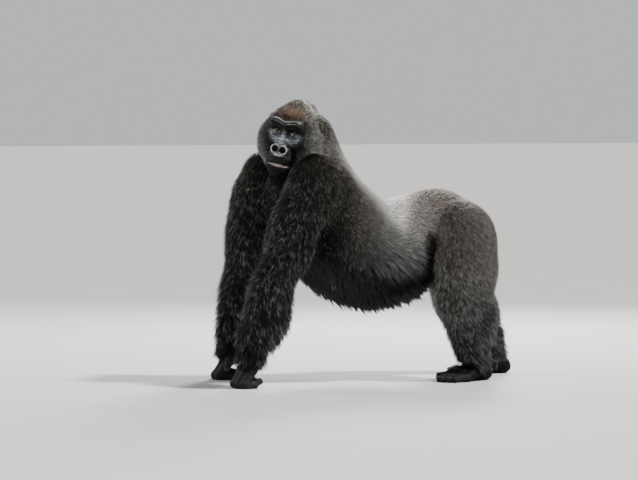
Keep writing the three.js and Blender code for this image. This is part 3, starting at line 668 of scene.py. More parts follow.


# How thickly tufts stand at each place, and their size, stray, pale tips and painted glints, and wetness.
thick = blended(lambda leaf: 1 / leaf.coat.gap ** 2 if leaf.coat.gap else 0)
size = {name: blended(lambda leaf: getattr(leaf.coat, name))
        for name in ("depth", "length", "width", "stray", "frost", "wet")}
tint = blended(lambda leaf: leaf.coat.colour)
bare = blended(lambda leaf: leaf.coat is BARE)
on_trunk, on_neck = (blended(lambda leaf: leaf.part == part) for part in (TRUNK, NECK))

# The bare face: from the edge of the brow to the lower lip, wide at the eyes and narrow at the mouth.
hx, hy, hz = in_head.T
out = np.abs(hx)
face_side = np.interp(hz, (-172, -120, -60, -10, 30, 60), (46, 54, 60, 76, 84, 74))
face_top = np.interp(out, (0, 10, 36, 60, 90), (54, 55, 62, 63, 51))
naked = fall(out, face_side - 14, face_side + 9) * fall(hy, 22, 46)
naked *= fall(hz, face_top - 3, face_top + 5) * ramp(hz, -172, -158) * (near_head > 0.9)
ear_off = np.min(both(lambda side: norm(in_head - EAR_AT * (side, 1, 1))), axis=0)
in_ear = fall(ear_off, 12, 18)
by_ear = ramp(ear_off, 12, 18) * fall(ear_off, 30, 42)
bare = np.where(near_head > 0.6, np.maximum(naked, in_ear), bare)
for key, value in (("depth", 4), ("length", 12), ("width", 2.2), ("frost", 0.4)):
    size[key] = marked(size[key], value, by_ear)
tint = marked(tint, CROWN.colour, by_ear)
thick = np.maximum(thick, 0.13 * by_ear) * fall(bare, 0.35, 0.75)

# Which way the hair lies, along the skin.
lie = np.zeros_like(points)
for i, leaf in enumerate(LEAVES):
    way = leaf.lie(points) if callable(leaf.lie) else np.array(leaf.lie, float)[None]
    lie += weight[:, i, None] * way / norm(way)[:, None]
lie -= (lie * normals).sum(1)[:, None] * normals
lie = unit(lie, 1e-6)

# Wrinkles of the face, each as how deep and wide it is and its path outward and up from between the eyes.
WRINKLES = (
    (2.4, 2.4, ((17, 4), (22, -11), (40, -19), (58, -15), (70, -4))),  # under the eye
    (2.2, 2.6, ((14, -8), (24, -23), (42, -30), (62, -27), (76, -14))),
    (1.8, 2.8, ((20, -34), (40, -41), (60, -40))),
    (2.0, 2.4, ((7, 24), (9, 2), (14, -20))),  # beside the bridge of the nose
    (1.4, 2.2, ((0, 16), (0, -14))),
    (1.6, 2.4, ((0, -34), (13, -36), (26, -44))),
    (4.0, 4.0, ((30, -48), (46, -60), (56, -84), (58, -108), (54, -126))),  # from the nose to the mouth
    (2.6, 2.4, ((0, 44), (20, 49), (44, 53), (62, 52), (78, 46))),  # along the brow
    (1.6, 2.4, ((5, 28), (6, 44))),
    (2.0, 2.2, ((23, 8), (32, 20), (50, 22), (64, 8))),  # over the lid
    (1.4, 2.4, ((0, -102), (0, -126))),  # the upper lip
    (1.0, 2.4, ((17, -106), (20, -127))),
    (1.0, 2.4, ((33, -104), (38, -126))),
    (3.0, 4.0, ((0, -164), (24, -164), (42, -157))),  # under the lower lip
)


def off_line(p, a, b):
    """How far each point is from the line between two others."""
    a, b = np.array(a, float), np.array(b, float)
    t = np.clip((p - a) @ (b - a) / ((b - a) @ (b - a)), 0, 1)
    return norm(p - a - t[:, None] * (b - a))


def off_path(path):
    """How far each point lies beside a path across the face."""
    p = np.stack([out, hz], 1)
    return np.min([off_line(p, a, b) for a, b in zip(path, path[1:])], axis=0)


on_face = naked * fall(hy, 10, 30)
folds = [depth * np.exp(-(off_path(path) / wide) ** 2) for depth, wide, path in WRINKLES]
fold = np.max(folds, axis=0) * on_face
points -= fold[:, None] * normals


# ================================================================ the markings
# A silver saddle over the loins and the back, near-white at its top as a painted highlight, grey flanks, a
# brown-grey rump and thighs, and black under the body and on the chest, deepened by painted shade. On the
# head a chestnut patch covers the crown, and the throat is dark.

BLACK = 0.003
x, y, z = points.T
# The saddle is silver hair, and its near-white top, whiter the higher the back, is a painted highlight.
saddle_and_sheen = ramp(z - 1.45 * np.maximum(110 - y, 0) - 1.6 * np.maximum(y - 130, 0), 590, 740)
saddle_and_sheen *= on_trunk + on_neck * fall(z, 980, 1100)
tint = marked(tint, (0.74, 0.73, 0.72), 0.9 * saddle_and_sheen)
flank = on_trunk * ramp(z, 470, 540) * ramp(y, -130, 110) * fall(y, 190, 320) * (1 - saddle_and_sheen)
tint = marked(tint, (0.180, 0.177, 0.173), 0.85 * flank)
size["frost"] *= 1 + 0.4 * flank
hind = ramp(y, 430, 620) * ramp(z, 330, 480)
tint = marked(tint, (0.160, 0.140, 0.128), 0.6 * hind)

# The chest and the underside are black hair, made blacker by painted shade behind the arm and under the
# body; the groin and the furrow in front of each thigh are black painted shade. Under the belly the hair
# is long and wet.
fore = on_trunk * fall(y + 0.25 * np.maximum(z - 640, 0), -225, -65)
fore *= 1 - ramp(z, 820, 930) * ramp(y, -270, -160)
under = on_trunk * fall(z - 0.3 * np.maximum(60 - y, 0), 455, 505) * fall(y, 350, 480)


def near_line(a, b):
    """How far each point of the skin is from a line between two points, the same on both sides."""
    return off_line(np.stack([np.abs(x), y, z], 1), a, b)


furrow = fall(near_line((200, 268, 640), (195, 250, 420)), 24, 62)
groin = fall(near_line((0, 300, 480), (90, 320, 470)), 60, 100) * (z < 600)
for key, value in (("length", 54), ("width", 4.2), ("wet", 0.95)):
    size[key] = marked(size[key], value, under)
# Painted shade: the chest, the underside, the groin and the furrows are made black and lose their pale
# tips.
for share in (0.97 * fore, 0.95 * groin, 0.97 * under, 0.97 * furrow):
    tint = marked(tint, BLACK, share)
    size["frost"] *= 1 - 0.85 * share
# Painted glints of water drops: a few bright pale tips on the black chest and the fore flank.
size["frost"] = np.maximum(size["frost"], 0.05 * fore * (z < 720))

# The chestnut patch has a dark lower edge.
patch = np.exp(-((hx - 8) / 42) ** 2 - ((hz - 84) / 22) ** 2) * fall(hy, 40, 90) * near_head
tint = marked(tint, (0.170, 0.092, 0.058), 0.9 * patch)
tint = marked(tint, (0.030, 0.012, 0.005), 0.95 * patch * fall(hz, 66, 84))
dim = near_head * fall(hz, -175, -130) * fall(hy, 40, 120)
tint = marked(tint, 0.004, dim)
size["frost"] *= (1 - patch) * (1 - dim)


# The colours of the bare face, each laid over those before it: black painted shade in the sockets and
# hollows, and blue-grey painted highlights where the bone is near, and on the nose, the brow and the lip.
def spot(x, z, wide, high):
    """A soft patch on both halves of the face, most at its middle."""
    return np.exp(-((out - x) / wide) ** 2 - ((hz - z) / high) ** 2)


def band(off, near, far):
    """1 nearer than one distance to a line, and 0 beyond another."""
    return fall(np.abs(off), near, far)


nostril = np.hypot((out - NOSTRIL_AT[0]) / 15, (hz - NOSTRIL_AT[2]) / 15.5)
snout = (hy < -30)
mouth_off = hz + 145
for colour, share in (
    ((0.030, 0.034, 0.040), 1),
    ((0.540, 0.580, 0.650), spot(30, -32, 36, 20) + spot(0, -26, 12, 34)),  # painted highlights under the eyes and down the nose
    (0.0005, 2 * spot(42, 25, 42, 22) + spot(62, 10, 14, 14)),  # the sockets: painted shadow under the brow
    ((0.640, 0.680, 0.730), spot(68, -12, 12, 11)),  # painted highlight on the cheekbone
    ((0.300, 0.280, 0.255), ramp(hz, face_top - 5, face_top - 2) * fall(out, 54, 76)),  # painted highlight along the top edge of the brow
    # a second painted highlight on a fold lower down the brow
    ((0.240, 0.225, 0.205), band(hz - face_top + 13, 1, 3) * fall(out, 40, 66) * 0.8),
    ((0.580, 0.590, 0.600), fall(nostril, 1.30, 1.54) * snout  # painted highlights on the rims of the nostrils
     * np.maximum(ramp(out, 4, 9), ramp(-hz, 84, 90))),
    ((0.640, 0.645, 0.650), 1.6 * spot(0, -98, 19, 7) * snout),  # painted highlight on the tip of the nose
    (0.002, fall(nostril, 0.92, 1.10) * snout),  # the nostrils: black painted shade
    (0.004, spot(54, -62, 11, 24)),  # painted shade in the hollow beside the nose
    ((0.012, 0.013, 0.014), ramp(-hz, 98, 106)),  # the lips, and the slit between them
    # painted highlight along the top of the lower lip
    ((0.500, 0.430, 0.390), fall(np.abs(mouth_off) + 5 * (out / 48) ** 2, 4, 7.5)),
    # painted shade in the slit of the mouth
    (0.002, band(hz + 136, 3, 5)),
    (0.004, ramp(-hz, 154, 162)),  # the chin
):
    tint = marked(tint, colour, naked * np.clip(share, 0, 1))
# Painted shade in the wrinkles: the deeper a fold, the darker its skin.
tint = marked(tint, (0.004, 0.005, 0.006), np.clip(fold / 2.4, 0, 0.85))

# The skin has a gloss round the nostrils, along the brow, under the eyes and on the lower lip.
gloss = fall(nostril, 1.40, 1.75) * ramp(nostril, 0.95, 1.15) * snout
gloss += ramp(hz, face_top - 12, face_top - 6) + 0.6 * spot(30, -30, 40, 24)
gloss += band(mouth_off, 4, 8) * fall(out, 14, 30)
gloss = naked * np.clip(gloss, 0, 1)
# A painted highlight along the rim of each lower lid, pale, which also has a gloss.
for side in SIDES:
    q = in_head - EYE_AT * (side, 1, 1)
    off_eye = norm(q)
    edge = above_lid(q * (1, 1, -1), LID_ANGLES[1])
    lower = fall(off_eye, 17.2, 18.9) * fall(edge, 1.5, 3.5) * (q[:, 1] < -2) * (q[:, 2] < 0)
    tint = marked(tint, (0.520, 0.500, 0.500), lower)
    gloss = np.maximum(gloss, lower)
# Painted shade in the hollow of each ear, black.
tint = marked(tint, (0.004, 0.004, 0.005), in_ear)


# ================================================================ the map
# The unwrap that the finishes are baked to. Each part of the body is rolled out round its own axis into
# a strip of the map: an axis from its top to its end, a radius, and the strip's corner and size.

AXES = {
    TRUNK: ((0, 620, 600), (20, -330, 760), 200, (0.0, 0.0, 1.0, 0.30)),
    NECK: ((15, -230, 860), (40, -290, 1180), 120, (0.0, 0.31, 0.5, 0.10)),
    HEAD: ((139, -394, 830), (100, -360, 1280), 110, (0.5, 0.31, 0.5, 0.30)),
}
for part_of, names, base in ((ARM_OF, ("shoulder", "wrist"), 0.62), (LEG, ("hip", "ankle"), 0.81)):
    for i, side in enumerate(SIDES):
        top, low = (joint(name, side) for name in names)
        AXES[part_of[side]] = (top, low + (0, 0, -60), 90, (0.5 * i, base, 0.5, 0.18))

part_share = np.stack([blended(lambda leaf: leaf.part == part) for part in range(len(AXES))], 1)
part_of_face = part_share[triangles].sum(1).argmax(1)


def rolled_out(part, p):
    """Where points of a part lie on the map, as turns round its axis and a way along it."""
    top, low, radius, _ = AXES[part]
    top, low = np.array(top, float), np.array(low, float)
    length = np.linalg.norm(low - top)
    way = (low - top) / length
    side = np.cross(way, (0.3, -1, 0.2))
    side /= np.linalg.norm(side)
    off = p - top
    s = off @ way
    a, b = off @ side, off @ np.cross(way, side)
    ends = np.clip(2 * s / length - 1, -1, 1)
    return np.arctan2(b, a) / (2 * math.pi), (s + (radius - np.hypot(a, b)) * ends) / length


corner_map = np.zeros((len(triangles), 3, 2))
EDGE = 0.02  # the share of a strip that is left empty along its edges
for part, (_, _, _, (left, base, wide, high)) in AXES.items():
    mine = part_of_face == part
    turn, v = rolled_out(part, points[triangles[mine]].reshape(-1, 3))
    turn, v = turn.reshape(-1, 3), v.reshape(-1, 3)
    middle, _ = rolled_out(part, points[triangles[mine]].mean(1))
    turn = middle[:, None] + (turn - middle[:, None] + 0.5) % 1 - 0.5
    v = (v - v.min()) / (v.max() - v.min())
    corner_map[mine, :, 0] = left + wide * (EDGE + (1 - 2 * EDGE) * np.clip(turn + 0.5, -0.01, 1.01))
    corner_map[mine, :, 1] = base + high * (EDGE + (1 - 2 * EDGE) * v)


# ================================================================ the hide
# The skin as a mesh of its own in place of the nodes of flesh, in the metres of the frame. Its finish is
# bare black skin with creases and pores, darker in the creases as painted shade, and where the coat covers
# it the colour of the hair, much darker, as painted shade between the tufts.

eye_low, eye_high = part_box("eye_left")
OFFSET = np.array((eye_low + eye_high) / 2) - (MID_EYES + HEAD_TURN @ EYE_AT) / 1000


def placed(points):
    """Points of the flesh in the metres of the frame."""
    return points / 1000 + OFFSET


def mesh_from(name, points, triangles):
    """A smooth mesh from points of the flesh."""
    mesh = bpy.data.meshes.new(name)
    mesh.vertices.add(len(points))
    mesh.vertices.foreach_set("co", np.ascontiguousarray(placed(points), np.float32).ravel())
    mesh.loops.add(triangles.size)
    mesh.loops.foreach_set("vertex_index", triangles.astype(np.int32).ravel())
    mesh.polygons.add(len(triangles))
    mesh.polygons.foreach_set("loop_start", np.arange(0, triangles.size, 3, dtype=np.int32))
    mesh.polygons.foreach_set("use_smooth", np.ones(len(triangles), bool))
    mesh.update(calc_edges=True)
    return mesh


def give(mesh, name, values, kind="FLOAT"):
    """A named attribute on a mesh, from an array."""
    values = np.asarray(values, np.float32)
    if kind == "FLOAT_COLOR":
        values = np.concatenate([values, np.ones((len(values), 1), np.float32)], 1)
    key = {"FLOAT": "value", "FLOAT_VECTOR": "vector", "FLOAT_COLOR": "color"}[kind]
    mesh.attributes.new(name, kind, "POINT").data.foreach_set(key, values.ravel())


def linked(name, data):
    """A new object in the scene."""
    made = bpy.data.objects.new(name, data)
    bpy.context.scene.collection.objects.link(made)
    return made


def add(name, mesh, material, slot):
    """A piece of the model: it rides with the body and takes the given finish; the slot is not used."""
    piece = linked(name, mesh)
    mesh.materials.clear()
    mesh.materials.append(material)
    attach(piece, "root")
    return piece


def grey(value):
    return (value, value, value, 1)


class Socket:
    """An output of a node, which adds Math nodes of its own when it is used in a sum."""

    def __init__(self, nodes, socket):
        self.nodes, self.socket = nodes, socket

    def maths(self, operation, *values):
        return self.nodes.node("Math", {"operation": operation}, *values)

    def __add__(self, other):
        return self.maths("ADD", self, other)

    def __mul__(self, other):
        return self.maths("MULTIPLY", self, other)

    def __rsub__(self, other):
        return self.maths("SUBTRACT", other, self)

    __radd__, __rmul__ = __add__, __mul__

    def clamped(self, low, high):
        """From 0 at low to 1 at high, with soft ends."""
        settings = {"interpolation_type": "SMOOTHSTEP"}
        return self.nodes.node("MapRange", settings, self, low, high, 0.0, 1.0)


class Nodes:
    """A tree of nodes. Values or sockets are fed to a new node's inputs, in order or by name."""

    def __init__(self, tree):
        self.tree = tree

    def feed(self, socket, value):
        if isinstance(value, Socket):
            self.tree.links.new(value.socket, socket)
        elif value is not None:
            socket.default_value = value

    def node(self, kind, settings, *values, out=0, **named):
        made = self.tree.nodes.new(kind if kind.startswith("Geometry") else "ShaderNode" + kind)
        for key, value in settings.items():
            setattr(made, key, value)
        shown = [socket for socket in made.inputs if socket.enabled]
        for socket, value in zip(shown, values):
            self.feed(socket, value)
        for name, value in named.items():
            self.feed(made.inputs[name.replace("_", " ")], value)
        shown = [socket for socket in made.outputs if socket.enabled]
        return Socket(self, shown[out] if isinstance(out, int) else made.outputs[out])


class Finish(Nodes):
    """A material, or the studio round the model, and its nodes."""

    def __init__(self, name, owner=None, shader="Principled BSDF"):
        self.material = owner or bpy.data.materials.new(name)
        self.material.use_nodes = True
        super().__init__(self.material.node_tree)
        self.shader = self.tree.nodes[shader]

    def mixed(self, share, a, b, way="MIX"):
        settings = {"data_type": "RGBA", "blend_type": way}
        return self.node("Mix", settings, share, a, b)

    def shaded(self, colour, shade):
        """A colour made darker or paler by a number."""
        grey_shade = self.node("CombineColor", {}, shade, shade, shade)
        return self.mixed(1.0, colour, grey_shade, "MULTIPLY")

    def attribute(self, name, out="Fac"):
        return self.node("Attribute", {"attribute_name": name}, out=out)

    def place(self):
        return self.node("TexCoord", {}, out="Object")

    def noise(self, scale, detail=3.0, rough=0.6, at=None, stretch=None):
        where = at or self.place()
        if stretch:
            where = self.node("Mapping", {}, where, None, None, stretch)
        return self.node("TexNoise", {}, where, scale, detail, rough, out="Fac")

    def bump(self, height, strength, distance):
        return self.node("Bump", {}, strength, distance, Height=height)

    def set(self, **values):
        for name, value in values.items():
            self.feed(self.shader.inputs[name.replace("_", " ")], value)
        return self.material


def hide():
    finish = Finish("hide")
    bare = finish.attribute("bare")
    tint = finish.attribute("tint", "Color")
    broad, fine = finish.noise(14, 4), finish.noise(260, 3, 0.7)
    hair = finish.noise(170, 2, 0.6, stretch=(1, 0.35, 1))
    head = finish.attribute("in_head", "Vector")
    creases = finish.noise(75, 3, 0.55, at=head, stretch=(0.55, 1, 1.7)).clamped(0.38, 0.60)
    # Under the coat the skin takes the hair's colour made much darker: painted shade between the tufts.
    under = finish.mixed(0.8, tint, grey(0))
    skin = finish.mixed(broad.clamped(0.3, 0.7) * 0.3, tint, (0.006, 0.006, 0.007, 1))
    # Painted shade in the fine creases of the bare skin.
    skin = finish.mixed((1 - creases) * 0.6, skin, (0.004, 0.005, 0.006, 1))
    colour = finish.mixed(bare, under, finish.shaded(skin, fine * 0.9 + 0.6))
    pores = finish.node("TexVoronoi", {"feature": "DISTANCE_TO_EDGE"}, finish.place(), 420.0)
    relief = (pores.clamped(0, 0.12) * 0.3 + fine * 0.4 + creases * 1.6) * bare + hair * (1 - bare)
    normal = finish.bump(relief, 0.7, 0.0014)
    return finish.set(Base_Color=colour, Roughness=0.55, Specular_IOR_Level=0.15, Normal=normal,
                      Coat_Weight=finish.attribute("gloss") * bare * 0.7, Coat_Roughness=0.3)


skin_mesh = mesh_from("skin", points, triangles)
give(skin_mesh, "tint", tint, "FLOAT_COLOR")
give(skin_mesh, "bare", ramp(bare, 0.3, 0.7))
give(skin_mesh, "gloss", gloss)
give(skin_mesh, "in_head", in_head / 1000, "FLOAT_VECTOR")
skin_mesh.uv_layers.new(name="OFBake")
skin_mesh.uv_layers["OFBake"].data.foreach_set("uv", corner_map.astype(np.float32).ravel())
skin = add("skin", skin_mesh, hide(), "bare_skin")
FLESH = [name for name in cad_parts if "nail" not in name and "eye" not in name]
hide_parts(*FLESH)


# ================================================================ the eyes
# Wet glass eyes in deep sockets. Each is one ball with a bulge in front, and its colours go by the angle
# off the gaze: a black pupil, a dark brown iris, and a dull white that shows at the corners.

GAZE = np.array((0.28, -0.96, 0.0))
RINGS, ROUND = 24, 32
CORNEA = 0.06  # how far the front of the eye bulges, as a share of its radius


def eyeball(side):
    ahead = GAZE / np.linalg.norm(GAZE)
    across = np.cross(ahead, (0, 0, 1))
    across /= np.linalg.norm(across)
    up = np.cross(across, ahead)
    angle = np.linspace(0, math.pi, RINGS + 1)[1:-1, None, None]
    turn = np.linspace(0, 2 * math.pi, ROUND, endpoint=False)[:, None]
    ring = np.cos(turn) * across + np.sin(turn) * up
    bulge = 1 + CORNEA * np.exp(-(angle / 0.5) ** 4)
    rings = EYE_RADIUS * bulge * (np.cos(angle) * ahead + np.sin(angle) * ring)
    front, back = ahead * EYE_RADIUS * (1 + CORNEA), -ahead * EYE_RADIUS
    spots = np.concatenate([[front], rings.reshape(-1, 3), [back]])
    last = len(spots) - 1
    faces = []
    for j in range(ROUND):
        k = (j + 1) % ROUND
        faces.append((0, 1 + j, 1 + k))
        for a in range(1, last - ROUND, ROUND):
            b = a + ROUND
            faces += [(a + j, b + j, b + k), (a + j, b + k, a + k)]
        faces.append((last - ROUND + j, last, last - ROUND + k))
    centre = MID_EYES + HEAD_TURN @ (EYE_AT * (side, 1, 1))
    mesh = mesh_from(f"eyeball_{NAME[side]}", spots @ HEAD_TURN.T + centre, np.array(faces))
    give(mesh, "off_gaze", np.concatenate([[0], np.repeat(angle.ravel(), ROUND), [math.pi]]))
    return mesh


def wet_eye():
    finish = Finish("wet_eye")
    off = finish.attribute("off_gaze")
    streaks = finish.noise(900, 3)
    iris = finish.mixed(streaks, (0.012, 0.005, 0.002, 1), (0.060, 0.025, 0.008, 1))
    colour = finish.mixed(off.clamped(0.22, 0.27), grey(0.001), iris)
    colour = finish.mixed(off.clamped(0.52, 0.62), colour, (0.200, 0.175, 0.160, 1))
    return finish.set(Base_Color=colour, Roughness=0.04, Coat_Weight=0.4, Coat_Roughness=0.02,
                      Specular_IOR_Level=0.2)


eye_finish = wet_eye()
for side in SIDES:
    eye = add(f"eyeball_{NAME[side]}", eyeball(side), eye_finish, "eye")
    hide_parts(f"eye_{NAME[side]}")


# ================================================================ the nails
# Flat black nails of horn on every finger and toe, set in beds in the flesh. They keep the shapes of the
# solids, and only change their finish.

def horn():
    finish = Finish("horn")
    bands = finish.noise(300, 2, stretch=(1, 1, 0.2))
    colour = finish.mixed(bands, (0.010, 0.009, 0.008, 1), (0.030, 0.026, 0.023, 1))
    return finish.set(Base_Color=colour, Roughness=0.5, Normal=finish.bump(bands, 0.3, 0.0004),
                      Specular_IOR_Level=0.3)


horn_finish = horn()
for name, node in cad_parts.items():
    if "nail" in name:
        node.data.materials.clear()
        node.data.materials.append(horn_finish)


# ================================================================ the hair
# Tufts of hair grow from roots spread over the skin, lie along the body and end level with the outline
# of the coat. Wet tufts gather into points. Each tuft is a thin closed cone with three sides.

rng = np.random.default_rng(7)
MOST_TRIANGLES = 190000  # in one piece of the coat
TRIANGLES_EACH = {1: 4, 2: 10}  # of a tuft, by how many segments it has
LENGTHS, DEPTHS, WIDTHS, SHADES = (0.7, 1.25), (0.7, 1.15), (0.7, 1.2), (0.75, 1.25)  # least and most
CELL = 25  # the faces are taken cell by cell, so that roots spread evenly
PATCH = 9  # tufts this near each other tend to be alike in paleness
CLUMP_REACH = 30  # how far from the middle of its clump a wet tuft still joins it
LOWEST = 3  # no tip comes nearer the floor


def spread(faces, most):
    """Roots spread evenly over some faces of the skin: the face of each, and where it lies on it."""
    corners = points[triangles[faces]]
    sides = corners[:, 1] - corners[:, 0], corners[:, 2] - corners[:, 0]
    share = norm(np.cross(*sides)) / 2 * thick[triangles[faces]].mean(1)
    count = min(most, int(share.sum()))
    cells = (corners.mean(1) // CELL).astype(int)
    order = np.lexsort((corners[:, 0, 0], cells[:, 0], cells[:, 1], cells[:, 2]))
    total = np.cumsum(share[order])
    marks = (np.arange(count) + rng.random(count)) / count * total[-1]
    picked = faces[order[np.minimum(np.searchsorted(total, marks), len(order) - 1)]]
    u, v = rng.random((2, count))
    over = u + v > 1
    u[over], v[over] = 1 - u[over], 1 - v[over]
    return picked, np.stack([1 - u - v, u, v], 1)


def grown(faces, segments, clump):
    """One piece of the coat: the root, spine, sides and place on the map of each tuft, and its look."""
    face, share = spread(faces, MOST_TRIANGLES // TRIANGLES_EACH[segments])
    count, corner = len(face), triangles[face]

    def here(values):
        if values.ndim == 1:
            return (values[corner] * share).sum(1)
        return (values[corner] * share[:, :, None]).sum(1)

    root, normal, way = here(points), unit(here(normals)), here(lie)
    across = np.cross(normal, way)
    stray = rng.normal(0, 1, count) * here(size["stray"])
    way = unit(way + stray[:, None] * across)
    length = here(size["length"]) * rng.uniform(*LENGTHS, count)
    depth = here(size["depth"]) * rng.uniform(*DEPTHS, count)
    wet = here(size["wet"])
    nearest = np.arange(count)
    if clump:
        places = rng.permutation(count)[: max(count // clump, 1)]
        tree = kdtree.KDTree(len(places))
        for i, at in enumerate(places):
            tree.insert(root[at], i)
        tree.balance()
        nearest = places[[tree.find(p)[1] for p in root]]
        swell = 1 + wet * rng.uniform(-0.3, 0.35, count)[nearest]
        depth, length = depth * swell, length * swell

    # Long hair under the body hangs down, and every tip is drawn to its depth off the flesh.
    hang = np.clip(-normal[:, 2], 0, 1) * np.clip(length / 40 - 0.6, 0, 1)
    depth *= 1 + 0.3 * hang
    way = unit(way + hang[:, None] * (0, 0, -1.5))
    tip = root + way * length[:, None]
    off, rise = slope(BODY.field, tip, 1.0)
    rise = unit(rise)
    tip += (depth - off)[:, None] * rise

    # Which tufts have pale tips, grizzled where dry and painted glints where wet, goes by patches, and wet
    # tufts follow the middle one of their clump.
    cell = np.floor(root / PATCH).astype(int) @ (1, 1009, 1009 ** 2)
    _, cell = np.unique(cell, return_inverse=True)
    pick = 0.5 * rng.random(count) + 0.5 * rng.random(cell.max() + 1)[cell]
    pick = np.where(pick < 0.5, 2 * pick ** 2, 1 - 2 * (1 - pick) ** 2)
    shade = rng.uniform(*SHADES, count)
    if clump:
        pull = (wet * rng.uniform(0.7, 1.05, count))[:, None]
        pull[norm(root - root[nearest]) > CLUMP_REACH] = 0
        pick = pick + wet * (0.55 * pick + 0.45 * rng.random(count)[nearest] - pick)
        shade *= 1 + wet * rng.uniform(-0.4, 0.4, count)[nearest]
        tip += pull * (tip[nearest] - tip)
    tip[:, 2] = np.maximum(tip[:, 2], LOWEST)
    spine = tip - root
    middle = spine * 0.5 + normal * (depth * rng.uniform(0.25, 0.6, count))[:, None]
    across = unit(np.cross(normal, spine))
    wide = here(size["width"]) * rng.uniform(*WIDTHS, count)
    on_map = (corner_map[face] * share[:, :, None]).sum(1)
    shape = {
        "root": placed(root), "mid": middle / 1000, "tip": spine / 1000,
        "across": across * (wide / 2)[:, None] / 1000,
        "out": unit(np.cross(spine, across)) * (wide * 0.2)[:, None] / 1000,
        "map": np.concatenate([on_map, np.zeros((count, 1))], 1),
    }
    frost = (pick < here(size["frost"])) * rng.uniform(0.5, 1, count)
    return shape, {"tint": here(tint) * shade[:, None], "frost": frost, "wet": wet}


def lock_tree():
    """Puts a cone with three sides on each root, and bends it along the root's own spine."""
    group = bpy.data.node_groups.new("locks", "GeometryNodeTree")
    inputs = {"Geometry": "Geometry", "Segments": "Int", "Fullness": "Float", "Patch": "Float",
              "Material": "Material"}

    def socket(label, kind, way="INPUT"):
        return group.interface.new_socket(label, in_out=way, socket_type="NodeSocket" + kind).identifier

    names = {label: socket(label, kind) for label, kind in inputs.items()}
    socket("Geometry", "Geometry", "OUTPUT")
    t = Nodes(group)
    start = group.nodes.new("NodeGroupInput")
    roots, segments, fullness, patch, material = (Socket(t, start.outputs[label]) for label in inputs)

    def vectors(operation, *values, **named):
        return t.node("VectorMath", {"operation": operation}, *values, **named)

    def own(name):
        return t.node("GeometryNodeInputNamedAttribute", {"data_type": "FLOAT_VECTOR"}, name)

    cone = t.node("GeometryNodeMeshCone", {"fill_type": "NGON"}, 3, segments, 1, 0.0, 1.0, 1.0)
    kept = group.nodes.new("GeometryNodeCaptureAttribute")
    kept.capture_items.new("VECTOR", "Local")
    t.feed(kept.inputs["Geometry"], cone)
    t.feed(kept.inputs["Local"], t.node("GeometryNodeInputPosition", {}))
    cone, local = (Socket(t, kept.outputs[name]) for name in ("Geometry", "Local"))
    on_roots = t.node("GeometryNodeInstanceOnPoints", {}, roots, Instance=cone)
    real = t.node("GeometryNodeRealizeInstances", {}, on_roots)
    x, y, s = (Socket(t, axis) for axis in t.node("SeparateXYZ", {}, local).socket.node.outputs)
    full = s * (1.0 - s) * fullness + 1.0
    wide = vectors("SCALE", own("across"), Scale=x * full)
    deep = vectors("SCALE", own("out"), Scale=y * full)
    place = vectors("SCALE", own("mid"), Scale=s * (1.0 - s) * 2.0)
    place = vectors("ADD", place, vectors("SCALE", own("tip"), Scale=s * s))
    place = vectors("ADD", vectors("ADD", place, wide), vectors("ADD", deep, own("root")))
    bent = t.node("GeometryNodeSetPosition", {}, real, Position=place)
    spot = t.node("CombineXYZ", {}, x * 0.5, s, 0.0)
    spot = vectors("ADD", own("map"), vectors("SCALE", spot, Scale=patch))
    store = {"data_type": "FLOAT2", "domain": "CORNER"}
    mapped = t.node("GeometryNodeStoreNamedAttribute", store, bent, Name="OFBake", Value=spot)
    store = {"data_type": "FLOAT", "domain": "POINT"}
    graded = t.node("GeometryNodeStoreNamedAttribute", store, mapped, Name="along", Value=s)
    smooth = t.node("GeometryNodeSetShadeSmooth", {}, graded)
    done = t.node("GeometryNodeSetMaterial", {}, smooth, Material=material)
    t.feed(group.nodes.new("NodeGroupOutput").inputs[0], done)
    return group, names


def coat_finish():
    """Hair that is dark at the root and pale at some tips, with a gloss where it is wet."""
    finish = Finish("hair")
    tint, frost = finish.attribute("tint", "Color"), finish.attribute("frost")
    s, wet = finish.attribute("along"), finish.attribute("wet")
    broad, fine = finish.noise(9, 3), finish.noise(700, 2, 0.7, stretch=(1, 1, 0.12))
    colour = finish.mixed(s.clamped(0.0, 0.55), finish.mixed(0.6, tint, grey(0)), tint)
    # Pale tips: warm grizzle on dry hair, and on wet hair bluish-white painted glints.
    pale = finish.mixed(wet, (0.56, 0.52, 0.47, 1), (0.72, 0.80, 0.83, 1))
    colour = finish.mixed(frost * s.clamped(0.45, 0.9), colour, pale)
    vary = broad * 0.5 + fine * 0.7 + 0.42
    colour = finish.shaded(colour, vary)
    return finish.set(Base_Color=colour, Roughness=0.6, Normal=finish.bump(fine, 0.4, 0.0005),
                      Specular_IOR_Level=0.15, Coat_Weight=0.4 * wet, Coat_Roughness=0.3)


hair_finish = coat_finish()
lock_group, lock_inputs = lock_tree()


